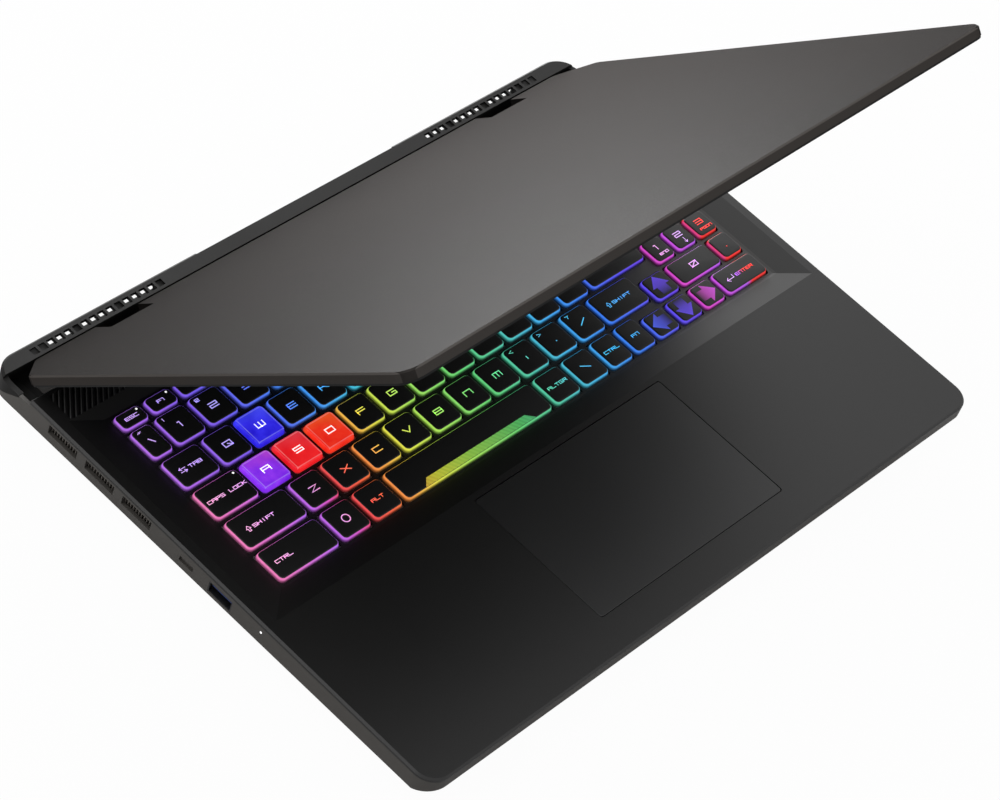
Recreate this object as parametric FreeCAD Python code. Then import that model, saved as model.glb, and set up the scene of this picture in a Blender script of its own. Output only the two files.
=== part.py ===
import FreeCAD, Part
import math
import os
from FreeCAD import Vector

# A sixteen inch class laptop computer, in millimetres.
# X runs to the user's right, Y to the rear, Z up. Z = 0 is the table, and X = Y = 0 is the base's middle.

# Base casing
base_depth = 260.9
deck_top = 21.5            # height of the palm rest above the table
foot_height = 2.6
wall = 1.8
floor_thickness = 1.5
deck_edge = 1.9            # visible height of the deck's rim
front_corner_radius = 10.0
rear_corner_radius = 12.0
rim_chamfer = 0.9
nest_clearance = 0.15      # between the deck's inner lip and the tray's wall
rear_wall_height = 9.0     # height at which the side wall starts to lean in, at the rear
front_wall_height = 11.6   # the same, at the front
side_lean = 0.41           # rise of the leaning underside for each millimetre sideways
nose_height = 14.5         # underside of the front edge
nose_length = 34.5         # how far back the front underside slopes

# Lid and hinge
lid_angle = 44.2           # opening angle as built
hinge_inset = 19.0         # hinge line to the rear of the base
hinge_drop = 1.0           # hinge line below the deck
lid_gap = 0.8              # closed lid to deck
bezel_thickness = 1.0
cover_thickness = 4.2
cover_skin = 0.8
cover_wall = 1.6
lid_side_inset = 0.7       # lid edge inside the base's side
lid_front_inset = 0.8
lid_rear_reach = 7.1       # lid behind the hinge line
lid_front_radius = 8.0
lid_rear_cut = 15.6        # slanting cut across each rear corner
lid_rear_cut_radius = 6.0
lid_bevel = 0.7
bezel_inset = 0.4
hinge_left_inset = 62.5    # hinge middle to the base's left side
hinge_right_inset = 59.2
notch_width = 24.4
knuckle_radius = 4.0
knuckle_length = 15.0
pin_radius = 1.5
pin_clearance = 0.03
notch_clearance = 0.5
arm_width = 2.9
arm_thickness = 1.0
hinge_plate_length = 14.0
screen_width = 344.7       # visible picture, which sets the base's width
screen_side = 7.15         # picture to the base's side
screen_brow = 10.8         # picture to the lid's front edge
screen_chin = 22.0         # picture to the lid's rear edge
panel_border = 4.0
panel_thickness = 2.0
lens_radius = 1.5
webcam_half_width = 16.0
webcam_thickness = 2.0

# Rear shelf with its rows of square holes
shelf_drop = 1.5           # shelf below the deck
shelf_thickness = 1.8
shelf_clearance = 0.9      # lid sweep to shelf
rear_seam = 18.9           # length of the rear housing along the sides
rear_split_inset = 19.5    # the housing takes over the floor outside this line
seam_gap = 0.2
ear_thickness = 2.7
ear_drop = 3.1             # ear below the deck
ear_toe = 5.0              # slanting seam under the ear to the rear edge
sill_height = 7.7          # bar below the rear windows
hole_pitch = 4.76
hole_width = 3.4
hole_length = 3.6
hole_setback = 3.1         # hole to the rear edge
hole_count = 14
hole_row_left = 91.9       # inner end of each hole row, from the base's side
hole_row_right = 98.0
blind_every = 5            # one hole in five is blind
first_blind = 3
blind_depth = 1.0
middle_half = 62.0         # plain middle of the rear face, set back by a step
middle_step = 1.0
dummy_depth = 0.6
shelf_chamfer = 1.2
trough_reach = 6.0         # hinge line to the front of the trough
trough_wall = 1.6

# Keyboard
row_pitch = 18.96
keyboard_units = 16.88     # width of the keyboard in key pitches
keyboard_left = 22.0       # first key to the base's left side
keyboard_right = 19.487    # end of the last key pitch to the right side
key_gap = 2.2
number_row_setback = 52.45  # trough to the front of the number row
key_corner = 1.6
key_taper = 0.75
key_sink = 0.1             # key tops below the palm rest
key_skirt = 0.5            # key below the floor of the keyboard recess
key_travel = 1.5
key_clearance = 0.45
function_key_depth = 8.8
function_key_count = 19
small_row = 5.0 / 6.0      # numpad and arrow rows, in main rows
field_drop = 2.0           # keyboard recess below the palm rest
field_thickness = 1.2
field_margin = 1.2
side_slope = 14.5          # widths of the recess's sloping sides
front_slope = 11.5
rear_slope = 7.0
dome_height = 0.5
dome_clearance = 0.3
dome_radius = 2.4
sheet_thickness = 0.3
plate_thickness = 0.8
plate_margin = 1.5

# Deck grilles beside the function row
grille_front = 17.2        # grille front edge to the trough
grille_rear = 2.5
grille_inset = 7.5         # grille to the base's side
grille_width = 80.0
grille_pitch = 2.3
grille_slot = 1.1
grille_angle = 50.0        # ribs against the width
grille_depth = 1.2

# Touchpad
pad_width = 120.0
pad_front_margin = 17.2
pad_keyboard_gap = 3.26    # pad to the keyboard recess
pad_thickness = 1.3
pad_clearance = 0.3
pad_corner = 1.5
pad_pivot = 1.2            # pivot line to the pad's rear edge
pad_lug_gap = 0.3
bracket_border = 6.0
bracket_thickness = 1.0
switch_radius = 3.0
switch_gap = 0.75

# Side openings
vent_count = 3
vent_pitch = 22.4
vent_width = 17.1
vent_height = 4.8
vent_z = 16.2
vent_setback = 91.25       # first vent's middle to the rear edge
side_port_z = 14.9
lock_setback = 121.45
lock_width = 8.0
lock_height = 2.6
lock_depth = 1.1
usb_width = 13.2
usb_height = 5.7
usb_depth = 14.0
usb_shell = 0.4
usb_tongue = 1.8
usb_left_setback = 141.45
usb_right_setback = 166.45
port_clearance = 0.1
jack_setback = 188.45
jack_body = 4.8
jack_depth = 12.0
jack_collar = 2.3
jack_bore = 1.8
network_setback = 117.45
network_width = 15.0
network_height = 7.3
network_depth = 15.5
network_shell = 0.6
network_z = 10.9
pedestal_width = 8.0
pedestal_length = 6.0

# Rear ports stand on the tray's floor
power_x = -52.0
power_width = 11.5
video_x = -14.0
video_width = 15.6
type_c_x = 24.0
type_c_width = 9.6
rear_port_height = 4.4
rear_port_depth = 18.0
rear_port_shell = 0.5
rear_port_tongue = 0.9

# Cooling
fan_inset = 64.5           # fan middle to the base's side
fan_width = 68.0
fan_depth = 60.0
fan_rear_gap = 0.6
fan_height = 9.6
fan_wall = 1.0
fan_radius = 28.0
fan_bore_gap = 1.6
fan_hub = 11.0
fan_shaft = 1.3
shaft_clearance = 0.06
fan_blades = 22
blade_thickness = 0.8
blade_lean = 28.0
inlet_radius = 21.0
spoke_width = 4.0
fin_pitch = 1.6
fin_thickness = 0.4
fin_base = 0.8
rear_fin_depth = 14.0
rear_fin_height = 8.0
side_fin_depth = 10.0
side_fin_height = 7.0
pipe_radius = 1.5
pipe_bend = 6.0

# Electronics
board_lift = 4.0
board_thickness = 1.2
board_fan_gap = 5.0
board_side_inset = 31.5
board_front_setback = 144.45  # these setbacks run to the base's rear edge
board_wing_setback = 110.45
board_rear_setback = 44.45
chip_thickness = 1.6
spreader_thickness = 1.2
processor_x = -30.0
graphics_x = 32.0
chip_setback = 68.45
processor_size = 30.0
graphics_size = 36.0
memory_width = 69.6
memory_depth = 30.0
memory_setback = 112.45
drive_length = 80.0
drive_width = 22.0
drive_inset = 72.5
card_length = 30.0
card_inset = 69.5
card_thickness = 2.2
battery_side_inset = 87.5
battery_front_margin = 40.45
battery_board_gap = 8.0
battery_height = 7.5
speaker_inset = 43.5
speaker_width = 26.0
speaker_depth = 32.0
speaker_margin = 70.45     # speaker middle to the front edge
speaker_height = 9.0

# Feet and screws
rear_foot_width = 86.0
rear_foot_depth = 9.0
rear_foot_inset = 74.5
rear_foot_setback = 36.45
front_foot_width = 40.0
front_foot_depth = 8.0
front_foot_inset = 69.5
front_foot_margin = 46.45
intake_slots = 9
intake_pitch = 5.6
intake_width = 2.4
intake_length = 56.0
front_screw_inset = 39.5   # insets run to the base's sides, margins to its front and setbacks to its rear
front_screw_margin = 43.45
middle_screw_inset = 75.5
middle_screw_margin = 70.45
side_screw_inset = 24.5
side_screw_setback = 165.45
rear_screw_inset = 22.5
rear_screw_setback = 32.25
screw_radius = 1.2
screw_head = 2.5
screw_head_height = 1.4
screw_sink = 0.8
screw_clearance = 0.2
screw_bite = 1.0
boss_radius = 4.0

# Heights and places worked out from the values above
base_width = screen_width + 2.0 * screen_side
half_width = base_width / 2.0
half_depth = base_depth / 2.0
front_y = -half_depth
seam_z = deck_top - deck_edge
floor_top = foot_height + floor_thickness
field_z = deck_top - field_drop
deck_under = field_z - field_thickness
hinge_y = half_depth - hinge_inset
hinge_left_x = -half_width + hinge_left_inset
hinge_right_x = half_width - hinge_right_inset
hinge_z = deck_top - hinge_drop
lid_bottom = deck_top + lid_gap
cover_bottom = lid_bottom + bezel_thickness
lid_top = cover_bottom + cover_thickness
lid_half = half_width - lid_side_inset
lid_front = -half_depth + lid_front_inset
lid_rear = hinge_y + lid_rear_reach
screen_rear = lid_rear - screen_chin
screen_front = lid_front + screen_brow
lens_y = (lid_front + screen_front) / 2.0
lid_sweep = math.hypot(lid_rear_reach, lid_top - hinge_z)
shelf_front = hinge_y + lid_sweep + shelf_clearance
shelf_top = deck_top - shelf_drop
shelf_under = shelf_top - shelf_thickness
rear_seam_y = half_depth - rear_seam
rear_split = half_width - rear_split_inset
first_hole_left = half_width - hole_row_left
first_hole_right = half_width - hole_row_right
ear_top = deck_top - ear_drop
trough_front = hinge_y - trough_reach
number_row_front = trough_front - number_row_setback
key_left = -half_width + keyboard_left
key_pitch = (base_width - keyboard_left - keyboard_right) / keyboard_units
keyboard_front = number_row_front - 4.0 * row_pitch - key_clearance - field_margin
grille_outer = half_width - grille_inset
grille_inner = grille_outer - grille_width
key_bottom = field_z - key_skirt
key_top = deck_top - key_sink
dome_top = key_bottom - key_travel - dome_clearance
sheet_top = dome_top - dome_height
plate_top = sheet_top - sheet_thickness
plate_bottom = plate_top - plate_thickness
board_half_width = half_width - fan_inset - fan_width / 2.0 - board_fan_gap
board_wing_half_width = half_width - board_side_inset
board_front = half_depth - board_front_setback
board_wing_rear = half_depth - board_wing_setback
board_rear = half_depth - board_rear_setback
chip_y = half_depth - chip_setback
memory_y = half_depth - memory_setback
drive_x = -half_width + drive_inset
card_x = half_width - card_inset
battery_half_width = half_width - battery_side_inset
battery_front = front_y + battery_front_margin
battery_rear = board_front - battery_board_gap
speaker_x = half_width - speaker_inset
speaker_y = front_y + speaker_margin
rear_foot_x = half_width - rear_foot_inset
rear_foot_y = half_depth - rear_foot_setback
front_foot_x = half_width - front_foot_inset
front_foot_y = front_y + front_foot_margin
screw_places = [(half_width - front_screw_inset, front_y + front_screw_margin),
                (half_width - middle_screw_inset, front_y + middle_screw_margin),
                (half_width - side_screw_inset, half_depth - side_screw_setback),
                (half_width - rear_screw_inset, half_depth - rear_screw_setback)]
vent_first_y = half_depth - vent_setback
lock_y = half_depth - lock_setback
usb_left_y = half_depth - usb_left_setback
usb_right_y = half_depth - usb_right_setback
jack_y = half_depth - jack_setback
network_y = half_depth - network_setback
board_bottom = floor_top + board_lift
board_top = board_bottom + board_thickness
chip_top = board_top + chip_thickness
spreader_top = chip_top + spreader_thickness
pipe_z = spreader_top + pipe_radius
pad_front = -half_depth + pad_front_margin
pad_rear = keyboard_front - front_slope - pad_keyboard_gap
pad_under = deck_top - pad_thickness
fan_x = half_width - fan_inset
fan_y = trough_front - trough_wall - rear_fin_depth - fan_rear_gap - fan_depth / 2.0
fan_bottom = floor_top
rear_fin_rear = trough_front - trough_wall
open_axis = Vector(-1, 0, 0)
hinge_point = Vector(0, hinge_y, hinge_z)


def box(x0, x1, y0, y1, z0, z1):
    return Part.makeBox(x1 - x0, y1 - y0, z1 - z0, Vector(x0, y0, z0))


def rod(radius, start, direction, length):
    return Part.makeCylinder(radius, length, start, direction)


# A closed wire at height z through (x, y, radius) corners, each rounded by its own radius.
def outline(corners, z):
    joints = []
    for index, (x, y, radius) in enumerate(corners):
        here = Vector(x, y, z)
        before = corners[index - 1]
        after = corners[(index + 1) % len(corners)]
        back = (Vector(before[0], before[1], z) - here).normalize()
        ahead = (Vector(after[0], after[1], z) - here).normalize()
        half_angle = back.getAngle(ahead) / 2.0
        reach = radius / math.tan(half_angle)
        inward = (back + ahead).normalize()
        middle = here + inward * (radius / math.sin(half_angle) - radius)
        joints.append((here + back * reach, middle, here + ahead * reach, radius))
    edges = []
    for index, (start, middle, end, radius) in enumerate(joints):
        if radius > 0:
            edges.append(Part.Arc(start, middle, end).toShape())
        edges.append(Part.LineSegment(end, joints[(index + 1) % len(joints)][0]).toShape())
    return Part.Wire(edges)


def prism(corners, z0, z1):
    return Part.Face(outline(corners, z0)).extrude(Vector(0, 0, z1 - z0))


def rectangle(x0, x1, y0, y1, front_radius=0.0, rear_radius=0.0):
    return [(x0, y0, front_radius), (x1, y0, front_radius), (x1, y1, rear_radius), (x0, y1, rear_radius)]


# A polygon in the YZ plane carried along X.
def side_prism(points, x0, x1):
    places = [Vector(x0, y, z) for y, z in points]
    return Part.Face(Part.makePolygon(places + places[:1])).extrude(Vector(x1 - x0, 0, 0))


# A solid with flat faces between two polygons that have the same number of corners.
def between(front, rear):
    faces = [Part.Face(Part.makePolygon(ring + ring[:1])) for ring in (front, rear)]
    for index in range(len(front)):
        after = (index + 1) % len(front)
        ring = [front[index], front[after], rear[after], rear[index]]
        faces.append(Part.Face(Part.makePolygon(ring + ring[:1])))
    return Part.makeSolid(Part.makeShell(faces))


def joined(shapes):
    return shapes[0].multiFuse(shapes[1:]).removeSplitter() if len(shapes) > 1 else shapes[0]


def top_edges(shape, z):
    return [edge for edge in shape.Edges if all(abs(point.Point.z - z) < 1e-4 for point in edge.Vertexes)]


def mirrored(shape):
    return shape.mirror(Vector(0, 0, 0), Vector(1, 0, 0))


def export(name, shape):
    shape.exportStep(os.path.join("parts", name + ".step"))


# The lid is modelled closed and turned up about the hinge line.
def raised(shape):
    turned = shape.copy()
    turned.rotate(hinge_point, open_axis, lid_angle)
    return turned


# Bottom tray

# Height at which the side wall starts to lean in, at depth y.
def wall_height(y):
    return rear_wall_height + (front_wall_height - rear_wall_height) * (half_depth - y) / base_depth


# The base's body up to the seam. The hollow is the same body inset by the wall and raised by the floor.
def base_body(inset, rise, top):
    plan = rectangle(-half_width + inset, half_width - inset, front_y + inset, half_depth - inset,
                     front_corner_radius - inset, rear_corner_radius - inset)
    low = foot_height + rise
    sections = []
    for y in (front_y, half_depth):
        edge_x = half_width - inset
        edge_z = wall_height(y) + rise - side_lean * inset
        foot_x = edge_x - (edge_z - low) / side_lean
        points = [(-edge_x, top), (-edge_x, edge_z), (-foot_x, low), (foot_x, low), (edge_x, edge_z),
                  (edge_x, top)]
        sections.append([Vector(x, y, z) for x, z in points])
    leaning = between(sections[0], sections[1])
    nose = [(front_y, top), (front_y, nose_height + rise), (front_y + nose_length, low), (half_depth, low),
            (half_depth, top)]
    return prism(plan, low, top).common(leaning).common(side_prism(nose, -half_width, half_width))


# Room for the tray's walls under the slanting seam of the two ears.
def ear_wedges(grow):
    low = rear_wall_height + 0.4
    points = [(rear_seam_y - 1.0, low - grow), (rear_seam_y - 1.0, ear_top - 0.6 + grow),
              (half_depth - ear_toe + 3.0 * grow, low - grow)]
    left = side_prism(points, -half_width - 1.0, -half_width + rear_corner_radius)
    return [left, mirrored(left)]


# Places repeated on both sides of the base.
def both_sides(places):
    return [(side * x, y) for x, y in places for side in (-1, 1)]


def vent_places():
    return [vent_first_y + vent_pitch * index for index in range(vent_count)]


def side_openings():
    cuts = []
    reach = wall + 2.0
    low = vent_z - vent_height / 2.0
    for y in vent_places():
        for side in (-1, 1):
            outer = side * (half_width + 1.0)
            inner = side * (half_width - reach)
            cuts.append(box(min(outer, inner), max(outer, inner), y - vent_width / 2.0,
                            y + vent_width / 2.0,
                            low, low + vent_height))
    cuts.append(box(-half_width - 1.0, -half_width + lock_depth, lock_y - lock_width / 2.0,
                    lock_y + lock_width / 2.0,
                    side_port_z - lock_height / 2.0, side_port_z + lock_height / 2.0))
    for side, y in ((-1, usb_left_y), (1, usb_right_y)):
        cuts.append(port_envelope(side, y, usb_width, usb_depth, side_port_z - usb_height / 2.0,
                                  usb_height))
    cuts.append(port_envelope(1, network_y, network_width, network_depth, network_z, network_height))
    cuts.append(rod(jack_collar + port_clearance, Vector(half_width - jack_depth, jack_y, side_port_z),
                    Vector(1, 0, 0), jack_depth + 1.0))
    return cuts


# The room that a port on the left (-1) or right (1) takes, with its clearance.
def port_envelope(side, y, width, depth, low, height):
    outer = side * (half_width + 1.0)
    inner = side * (half_width - depth - port_clearance)
    return box(min(outer, inner), max(outer, inner), y - width / 2.0 - port_clearance,
               y + width / 2.0 + port_clearance, low - port_clearance, low + height + port_clearance)


def bottom_cover():
    tray = base_body(0.0, 0.0, seam_z)
    hollow = base_body(wall, floor_thickness, seam_z + 1.0)
    cavity = hollow.common(box(-half_width, half_width, front_y, trough_front - trough_wall, 0, deck_top))
    trough = hollow.common(box(-half_width, half_width, trough_front, half_depth, 0, deck_top))
    sides = tray.cut(hollow)
    wedges = [sides.common(wedge) for wedge in ear_wedges(0.0)]
    tray = tray.cut(cavity).cut(trough)
    tray = tray.cut(box(-half_width - 1, half_width + 1, shelf_front - seam_gap, half_depth + 1, 0,
                        deck_top))
    for side in (-1, 1):
        inner = side * rear_split
        outer = side * (half_width + 1)
        tray = tray.cut(box(min(inner, outer), max(inner, outer), rear_seam_y - seam_gap, half_depth + 1,
                            0, deck_top))
    ends = [box(side * half_width - wall - 1, side * half_width + wall + 1, trough_front, half_depth,
                ear_top, deck_top)
            for side in (-1, 1)]
    windows = []
    for side in (-1, 1):
        x = side * fan_x
        windows.append(box(x - fan_width / 2.0 + 2.0, x + fan_width / 2.0 - 2.0, rear_fin_rear - 1,
                           trough_front + 1,
                           floor_top + 1.0, floor_top + rear_fin_height))
        for index in range(intake_slots):
            y = fan_y + intake_pitch * (index - (intake_slots - 1) / 2.0)
            windows.append(box(x - intake_length / 2.0, x + intake_length / 2.0, y - intake_width / 2.0,
                               y + intake_width / 2.0, 0, floor_top + 0.1))
    bosses = []
    holes = []
    for x, y in both_sides(screw_places):
        bosses.append(rod(boss_radius, Vector(x, y, foot_height), Vector(0, 0, 1),
                          deck_under - foot_height))
        holes.append(rod(screw_radius + screw_clearance, Vector(x, y, 0), Vector(0, 0, 1), deck_top))
        holes.append(rod(screw_head + screw_clearance, Vector(x, y, 0), Vector(0, 0, 1),
                         foot_height + screw_sink + screw_head_height))
    for x, y in both_sides([(board_half_width - 8.0, board_rear - 8.0),
                            (board_wing_half_width - 8.0, board_front + 8.0)]):
        bosses.append(rod(boss_radius, Vector(x, y, foot_height), Vector(0, 0, 1),
                          board_lift + floor_thickness))
    bosses = [boss.common(base_body(0.0, 0.0, seam_z)) for boss in bosses]
    tray = joined([tray] + wedges + bosses)
    tray = tray.cut(Part.makeCompound(holes + windows + ends + side_openings()))
    return joined([tray] + pedestals())


# Short blocks that carry the side ports.
def pedestals():
    blocks = []
    ports = [(-1, usb_left_y, usb_depth, side_port_z - usb_height / 2.0),
             (1, usb_right_y, usb_depth, side_port_z - usb_height / 2.0),
             (1, network_y, network_depth, network_z), (1, jack_y, jack_depth,
                                                        side_port_z - jack_body / 2.0)]
    inside = base_body(0.0, 0.0, seam_z)
    for side, y, depth, low in ports:
        start = side * (half_width - depth)
        end = start + side * pedestal_length
        block = box(min(start, end), max(start, end), y - pedestal_width / 2.0, y + pedestal_width / 2.0,
                    0, low)
        blocks.append(block.common(inside))
    return blocks


# Keyboard layout: each key is (left, right, front, depth) in millimetres

def key_span(start, end, row, depth):
    left = key_left + key_pitch * start
    right = key_left + key_pitch * end - key_gap
    return (left, right, number_row_front - row_pitch * row, depth)


main_depth = row_pitch - key_gap
small_depth = row_pitch * small_row - key_gap
pad_columns = [14.486, 15.27, 16.08, keyboard_units]
letter_starts = {"number": 0.728, "upper": 1.212, "home": 1.433, "lower": 1.942}
up_row = 4.0 - small_row


def key_row(bounds, row, depth=None):
    size = main_depth if depth is None else depth
    return [key_span(bounds[index], bounds[index + 1], row, size) for index in range(len(bounds) - 1)]


def keyboard():
    right_end = pad_columns[-1]
    pitch = right_end / function_key_count
    function_bounds = [pitch * index for index in range(function_key_count + 1)]
    function_row = key_row(function_bounds, -0.95, function_key_depth)
    number_row = key_row([0.0] + [letter_starts["number"] + index for index in range(13)]
                         + [pad_columns[0]], 0)
    upper_row = key_row([0.0] + [letter_starts["upper"] + index for index in range(13)] + [pad_columns[0]], 1)
    home_row = key_row([0.0] + [letter_starts["home"] + index for index in range(12)] + [pad_columns[0]], 2)
    lower_row = key_row([0.0] + [letter_starts["lower"] + index for index in range(11)] + [13.554], 3)
    bottom_row = key_row([0.0, 1.945, 2.945, 3.945, 8.945, 9.945, 10.945, 11.82, 12.663], 4)
    numpad = []
    for level in range(4):
        numpad += key_row(pad_columns, up_row - small_row * (4 - level), small_depth)
    numpad.append(key_span(pad_columns[0], pad_columns[2], up_row, small_depth))
    numpad.append(key_span(pad_columns[2], pad_columns[3], up_row, small_depth))
    numpad.append(key_span(pad_columns[1], pad_columns[3], 4, small_depth))
    groups = {
        "function_row_keys": function_row[:-1],
        "power_button": function_row[-1:],
        "number_row_keys": number_row,
        "upper_letter_row_keys": upper_row[:2] + upper_row[3:],
        "key_w": upper_row[2:3],
        "home_row_keys": home_row[:1] + home_row[4:],
        "key_a": home_row[1:2],
        "key_s": home_row[2:3],
        "key_d": home_row[3:4],
        "lower_letter_row_keys": lower_row,
        "bottom_row_keys": bottom_row[:3] + bottom_row[4:],
        "space_bar": bottom_row[3:4],
        "arrow_left_key": [key_span(12.663, 13.55, 4, small_depth)],
        "arrow_down_key": [key_span(13.55, 14.408, 4, small_depth)],
        "arrow_right_key": [key_span(14.408, pad_columns[1], 4, small_depth)],
        "arrow_up_key": [key_span(13.554, pad_columns[0], up_row, small_depth)],
        "numpad_keys": numpad,
    }
    return groups


def key_cap(span):
    left, right, front, depth = span
    low = outline(rectangle(left, right, front, front + depth, key_corner, key_corner), key_bottom)
    inset = rectangle(left + key_taper, right - key_taper, front + key_taper, front + depth - key_taper,
                      key_corner - key_taper / 2.0, key_corner - key_taper / 2.0)
    return Part.makeLoft([low, outline(inset, key_top)], True, True)


def key_hole(span, z0, z1):
    left, right, front, depth = span
    room = key_clearance
    return prism(rectangle(left - room, right + room, front - room, front + depth + room, key_corner,
                           key_corner), z0, z1)


key_groups = keyboard()
all_keys = [span for group in key_groups.values() for span in group]
field_left = min(span[0] for span in all_keys) - key_clearance - field_margin
field_right = max(span[1] for span in all_keys) + key_clearance + field_margin
field_front = min(span[2] for span in all_keys) - key_clearance - field_margin
field_rear = max(span[2] + span[3] for span in all_keys) + key_clearance + field_margin


# Palm rest deck with the keyboard recess, key openings, touchpad opening and rear grilles
def palmrest_deck():
    upper = prism(rectangle(-half_width, half_width, front_y, trough_front, front_corner_radius, 1.0),
                  seam_z, deck_top)
    upper = upper.makeChamfer(rim_chamfer, top_edges(upper, deck_top))
    inset = wall + nest_clearance
    lower = prism(rectangle(-half_width + inset, half_width - inset, front_y + inset,
                            trough_front - trough_wall - nest_clearance, front_corner_radius - inset, 0.5),
                  deck_under, seam_z)
    deck = upper.fuse(lower).removeSplitter()
    top_wire = outline(rectangle(field_left - side_slope, field_right + side_slope,
                                 field_front - front_slope,
                                 field_rear + rear_slope), deck_top)
    low_wire = outline(rectangle(field_left, field_right, field_front, field_rear), field_z)
    recess = Part.makeLoft([low_wire, top_wire], True, True)
    cuts = [key_hole(span, deck_under - 1.0, deck_top) for span in all_keys]
    room = pad_clearance
    cuts.append(prism(rectangle(-pad_width / 2.0 - room, pad_width / 2.0 + room, pad_front - room,
                                pad_rear + room,
                                pad_corner, pad_corner), deck_under - 1.0, deck_top + 1.0))
    for x, y in both_sides(screw_places):
        cuts.append(rod(screw_radius, Vector(x, y, 0), Vector(0, 0, 1), deck_under + screw_bite))
    return deck.cut(recess).cut(Part.makeCompound(cuts + grille_slots()))


# Slanting slots, cut off at the grille's borders. The right grille mirrors the left one.
def grille_slots():
    front = trough_front - grille_front
    rear = trough_front - grille_rear
    border = box(-grille_outer, -grille_inner, front, rear, deck_top - grille_depth, deck_top + 1.0)
    run = math.radians(grille_angle)
    step = grille_pitch / math.sin(run)
    overlap = (rear - front) / math.tan(run)
    count = int((grille_outer - grille_inner + overlap) / step)
    half = grille_slot / 2.0
    slots = []
    for index in range(count):
        slot = box(-half, half, -grille_outer, grille_outer, deck_top - grille_depth, deck_top + 1.0)
        slot.rotate(Vector(0, 0, 0), Vector(0, 0, 1), grille_angle - 90.0)
        slot.translate(Vector(-grille_outer - overlap / 2.0 + step * (index + 0.7), (front + rear) / 2.0,
                              0))
        piece = slot.common(border)
        if piece.Volume > 0.5:
            slots.append(piece)
    return slots + [mirrored(slot) for slot in slots]


def keyboard_support_plate():
    x0 = field_left - plate_margin
    x1 = field_right + plate_margin
    y0 = field_front - plate_margin
    y1 = field_rear + plate_margin
    plate = box(x0, x1, y0, y1, plate_bottom, plate_top)
    rim = box(x0, x1, y0, y1, plate_top, deck_under)
    rim = rim.cut(box(field_left, field_right, field_front, field_rear, 0, deck_top))
    return plate.fuse(rim).removeSplitter()


# One sheet with a dome under the middle of each key, drawn pressed.
def rubber_dome_sheet():
    sheet = box(field_left + 0.5, field_right - 0.5, field_front + 0.5, field_rear - 0.5, plate_top,
                sheet_top)
    domes = []
    for left, right, front, depth in all_keys:
        place = Vector((left + right) / 2.0, front + depth / 2.0, sheet_top)
        domes.append(Part.makeCone(dome_radius, dome_radius / 2.0, dome_height, place))
    return joined([sheet] + domes)


def touchpad_plate():
    plan = rectangle(-pad_width / 2.0, pad_width / 2.0, pad_front, pad_rear, pad_corner, pad_corner)
    return prism(plan, pad_under, deck_top)


# The bracket closes the deck's opening from below. The pad presses the switch at the front.
def touchpad_bracket():
    border = bracket_border
    plate = box(-pad_width / 2.0 - border, pad_width / 2.0 + border, pad_front - border, pad_rear + border,
                deck_under - bracket_thickness, deck_under)
    switch = rod(switch_radius, Vector(0, pad_front + 3.0 * switch_radius, deck_under), Vector(0, 0, 1),
                 pad_under - switch_gap - deck_under)
    lugs = [box(x - 5.0, x + 5.0, pad_rear - 2.0 * pad_pivot, pad_rear, deck_under, pad_under - pad_lug_gap)
            for x in (-pad_width / 3.0, pad_width / 3.0)]
    return joined([plate, switch] + lugs)


# Rear housing: shelf with square holes, windows below it, plain middle with ports, and the side ears
def hole_starts():
    return (-first_hole_left - hole_pitch * (hole_count - 1), first_hole_right)


def rear_vent_housing():
    body = base_body(0.0, 0.0, shelf_top)
    body = body.makeChamfer(shelf_chamfer, [edge for edge in top_edges(body, shelf_top)
                                            if edge.BoundBox.YMax > rear_seam_y])
    body = body.common(box(-half_width, half_width, rear_seam_y, half_depth, 0, deck_top))
    hollow = base_body(ear_thickness, floor_thickness, shelf_under)
    between_ears = base_body(ear_thickness, floor_thickness, deck_top)
    between_ears = between_ears.common(box(-half_width, half_width, front_y, shelf_front, 0, deck_top))
    split = rear_split + seam_gap
    cuts = [hollow, between_ears, box(-split, split, rear_seam_y - 1, shelf_front, 0, deck_top),
            box(-half_width, half_width, rear_seam_y - 1, shelf_front, ear_top, deck_top)]
    cuts += ear_wedges(seam_gap)
    sill = foot_height + sill_height
    hole_rear = half_depth - hole_setback
    for start in hole_starts():
        x0 = start - hole_pitch / 2.0
        x1 = start + hole_pitch * (hole_count - 0.5)
        cuts.append(box(x0, x1, half_depth - ear_thickness - 1, half_depth + 1, sill, shelf_under))
        for index in range(-2, hole_count + 2):
            x = start + hole_pitch * index
            real = 0 <= index < hole_count
            low = shelf_under - 1 if real else shelf_top - dummy_depth
            if real and index % blind_every == first_blind:
                low = shelf_top - blind_depth
            if real or abs(x) > max(first_hole_left, first_hole_right):
                cuts.append(box(x - hole_width / 2.0, x + hole_width / 2.0, hole_rear - hole_length,
                                hole_rear, low, deck_top))
    cuts.append(box(-middle_half, middle_half, half_depth - middle_step, half_depth + 1, 0, deck_top))
    for x, width in rear_ports():
        cuts.append(box(x - width / 2.0 - port_clearance, x + width / 2.0 + port_clearance,
                        shelf_front - 1, half_depth + 1,
                        floor_top - port_clearance, floor_top + rear_port_height + port_clearance))
    return body.cut(Part.makeCompound(cuts))


def rear_ports():
    return [(power_x, power_width), (video_x, video_width), (type_c_x, type_c_width)]


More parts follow.
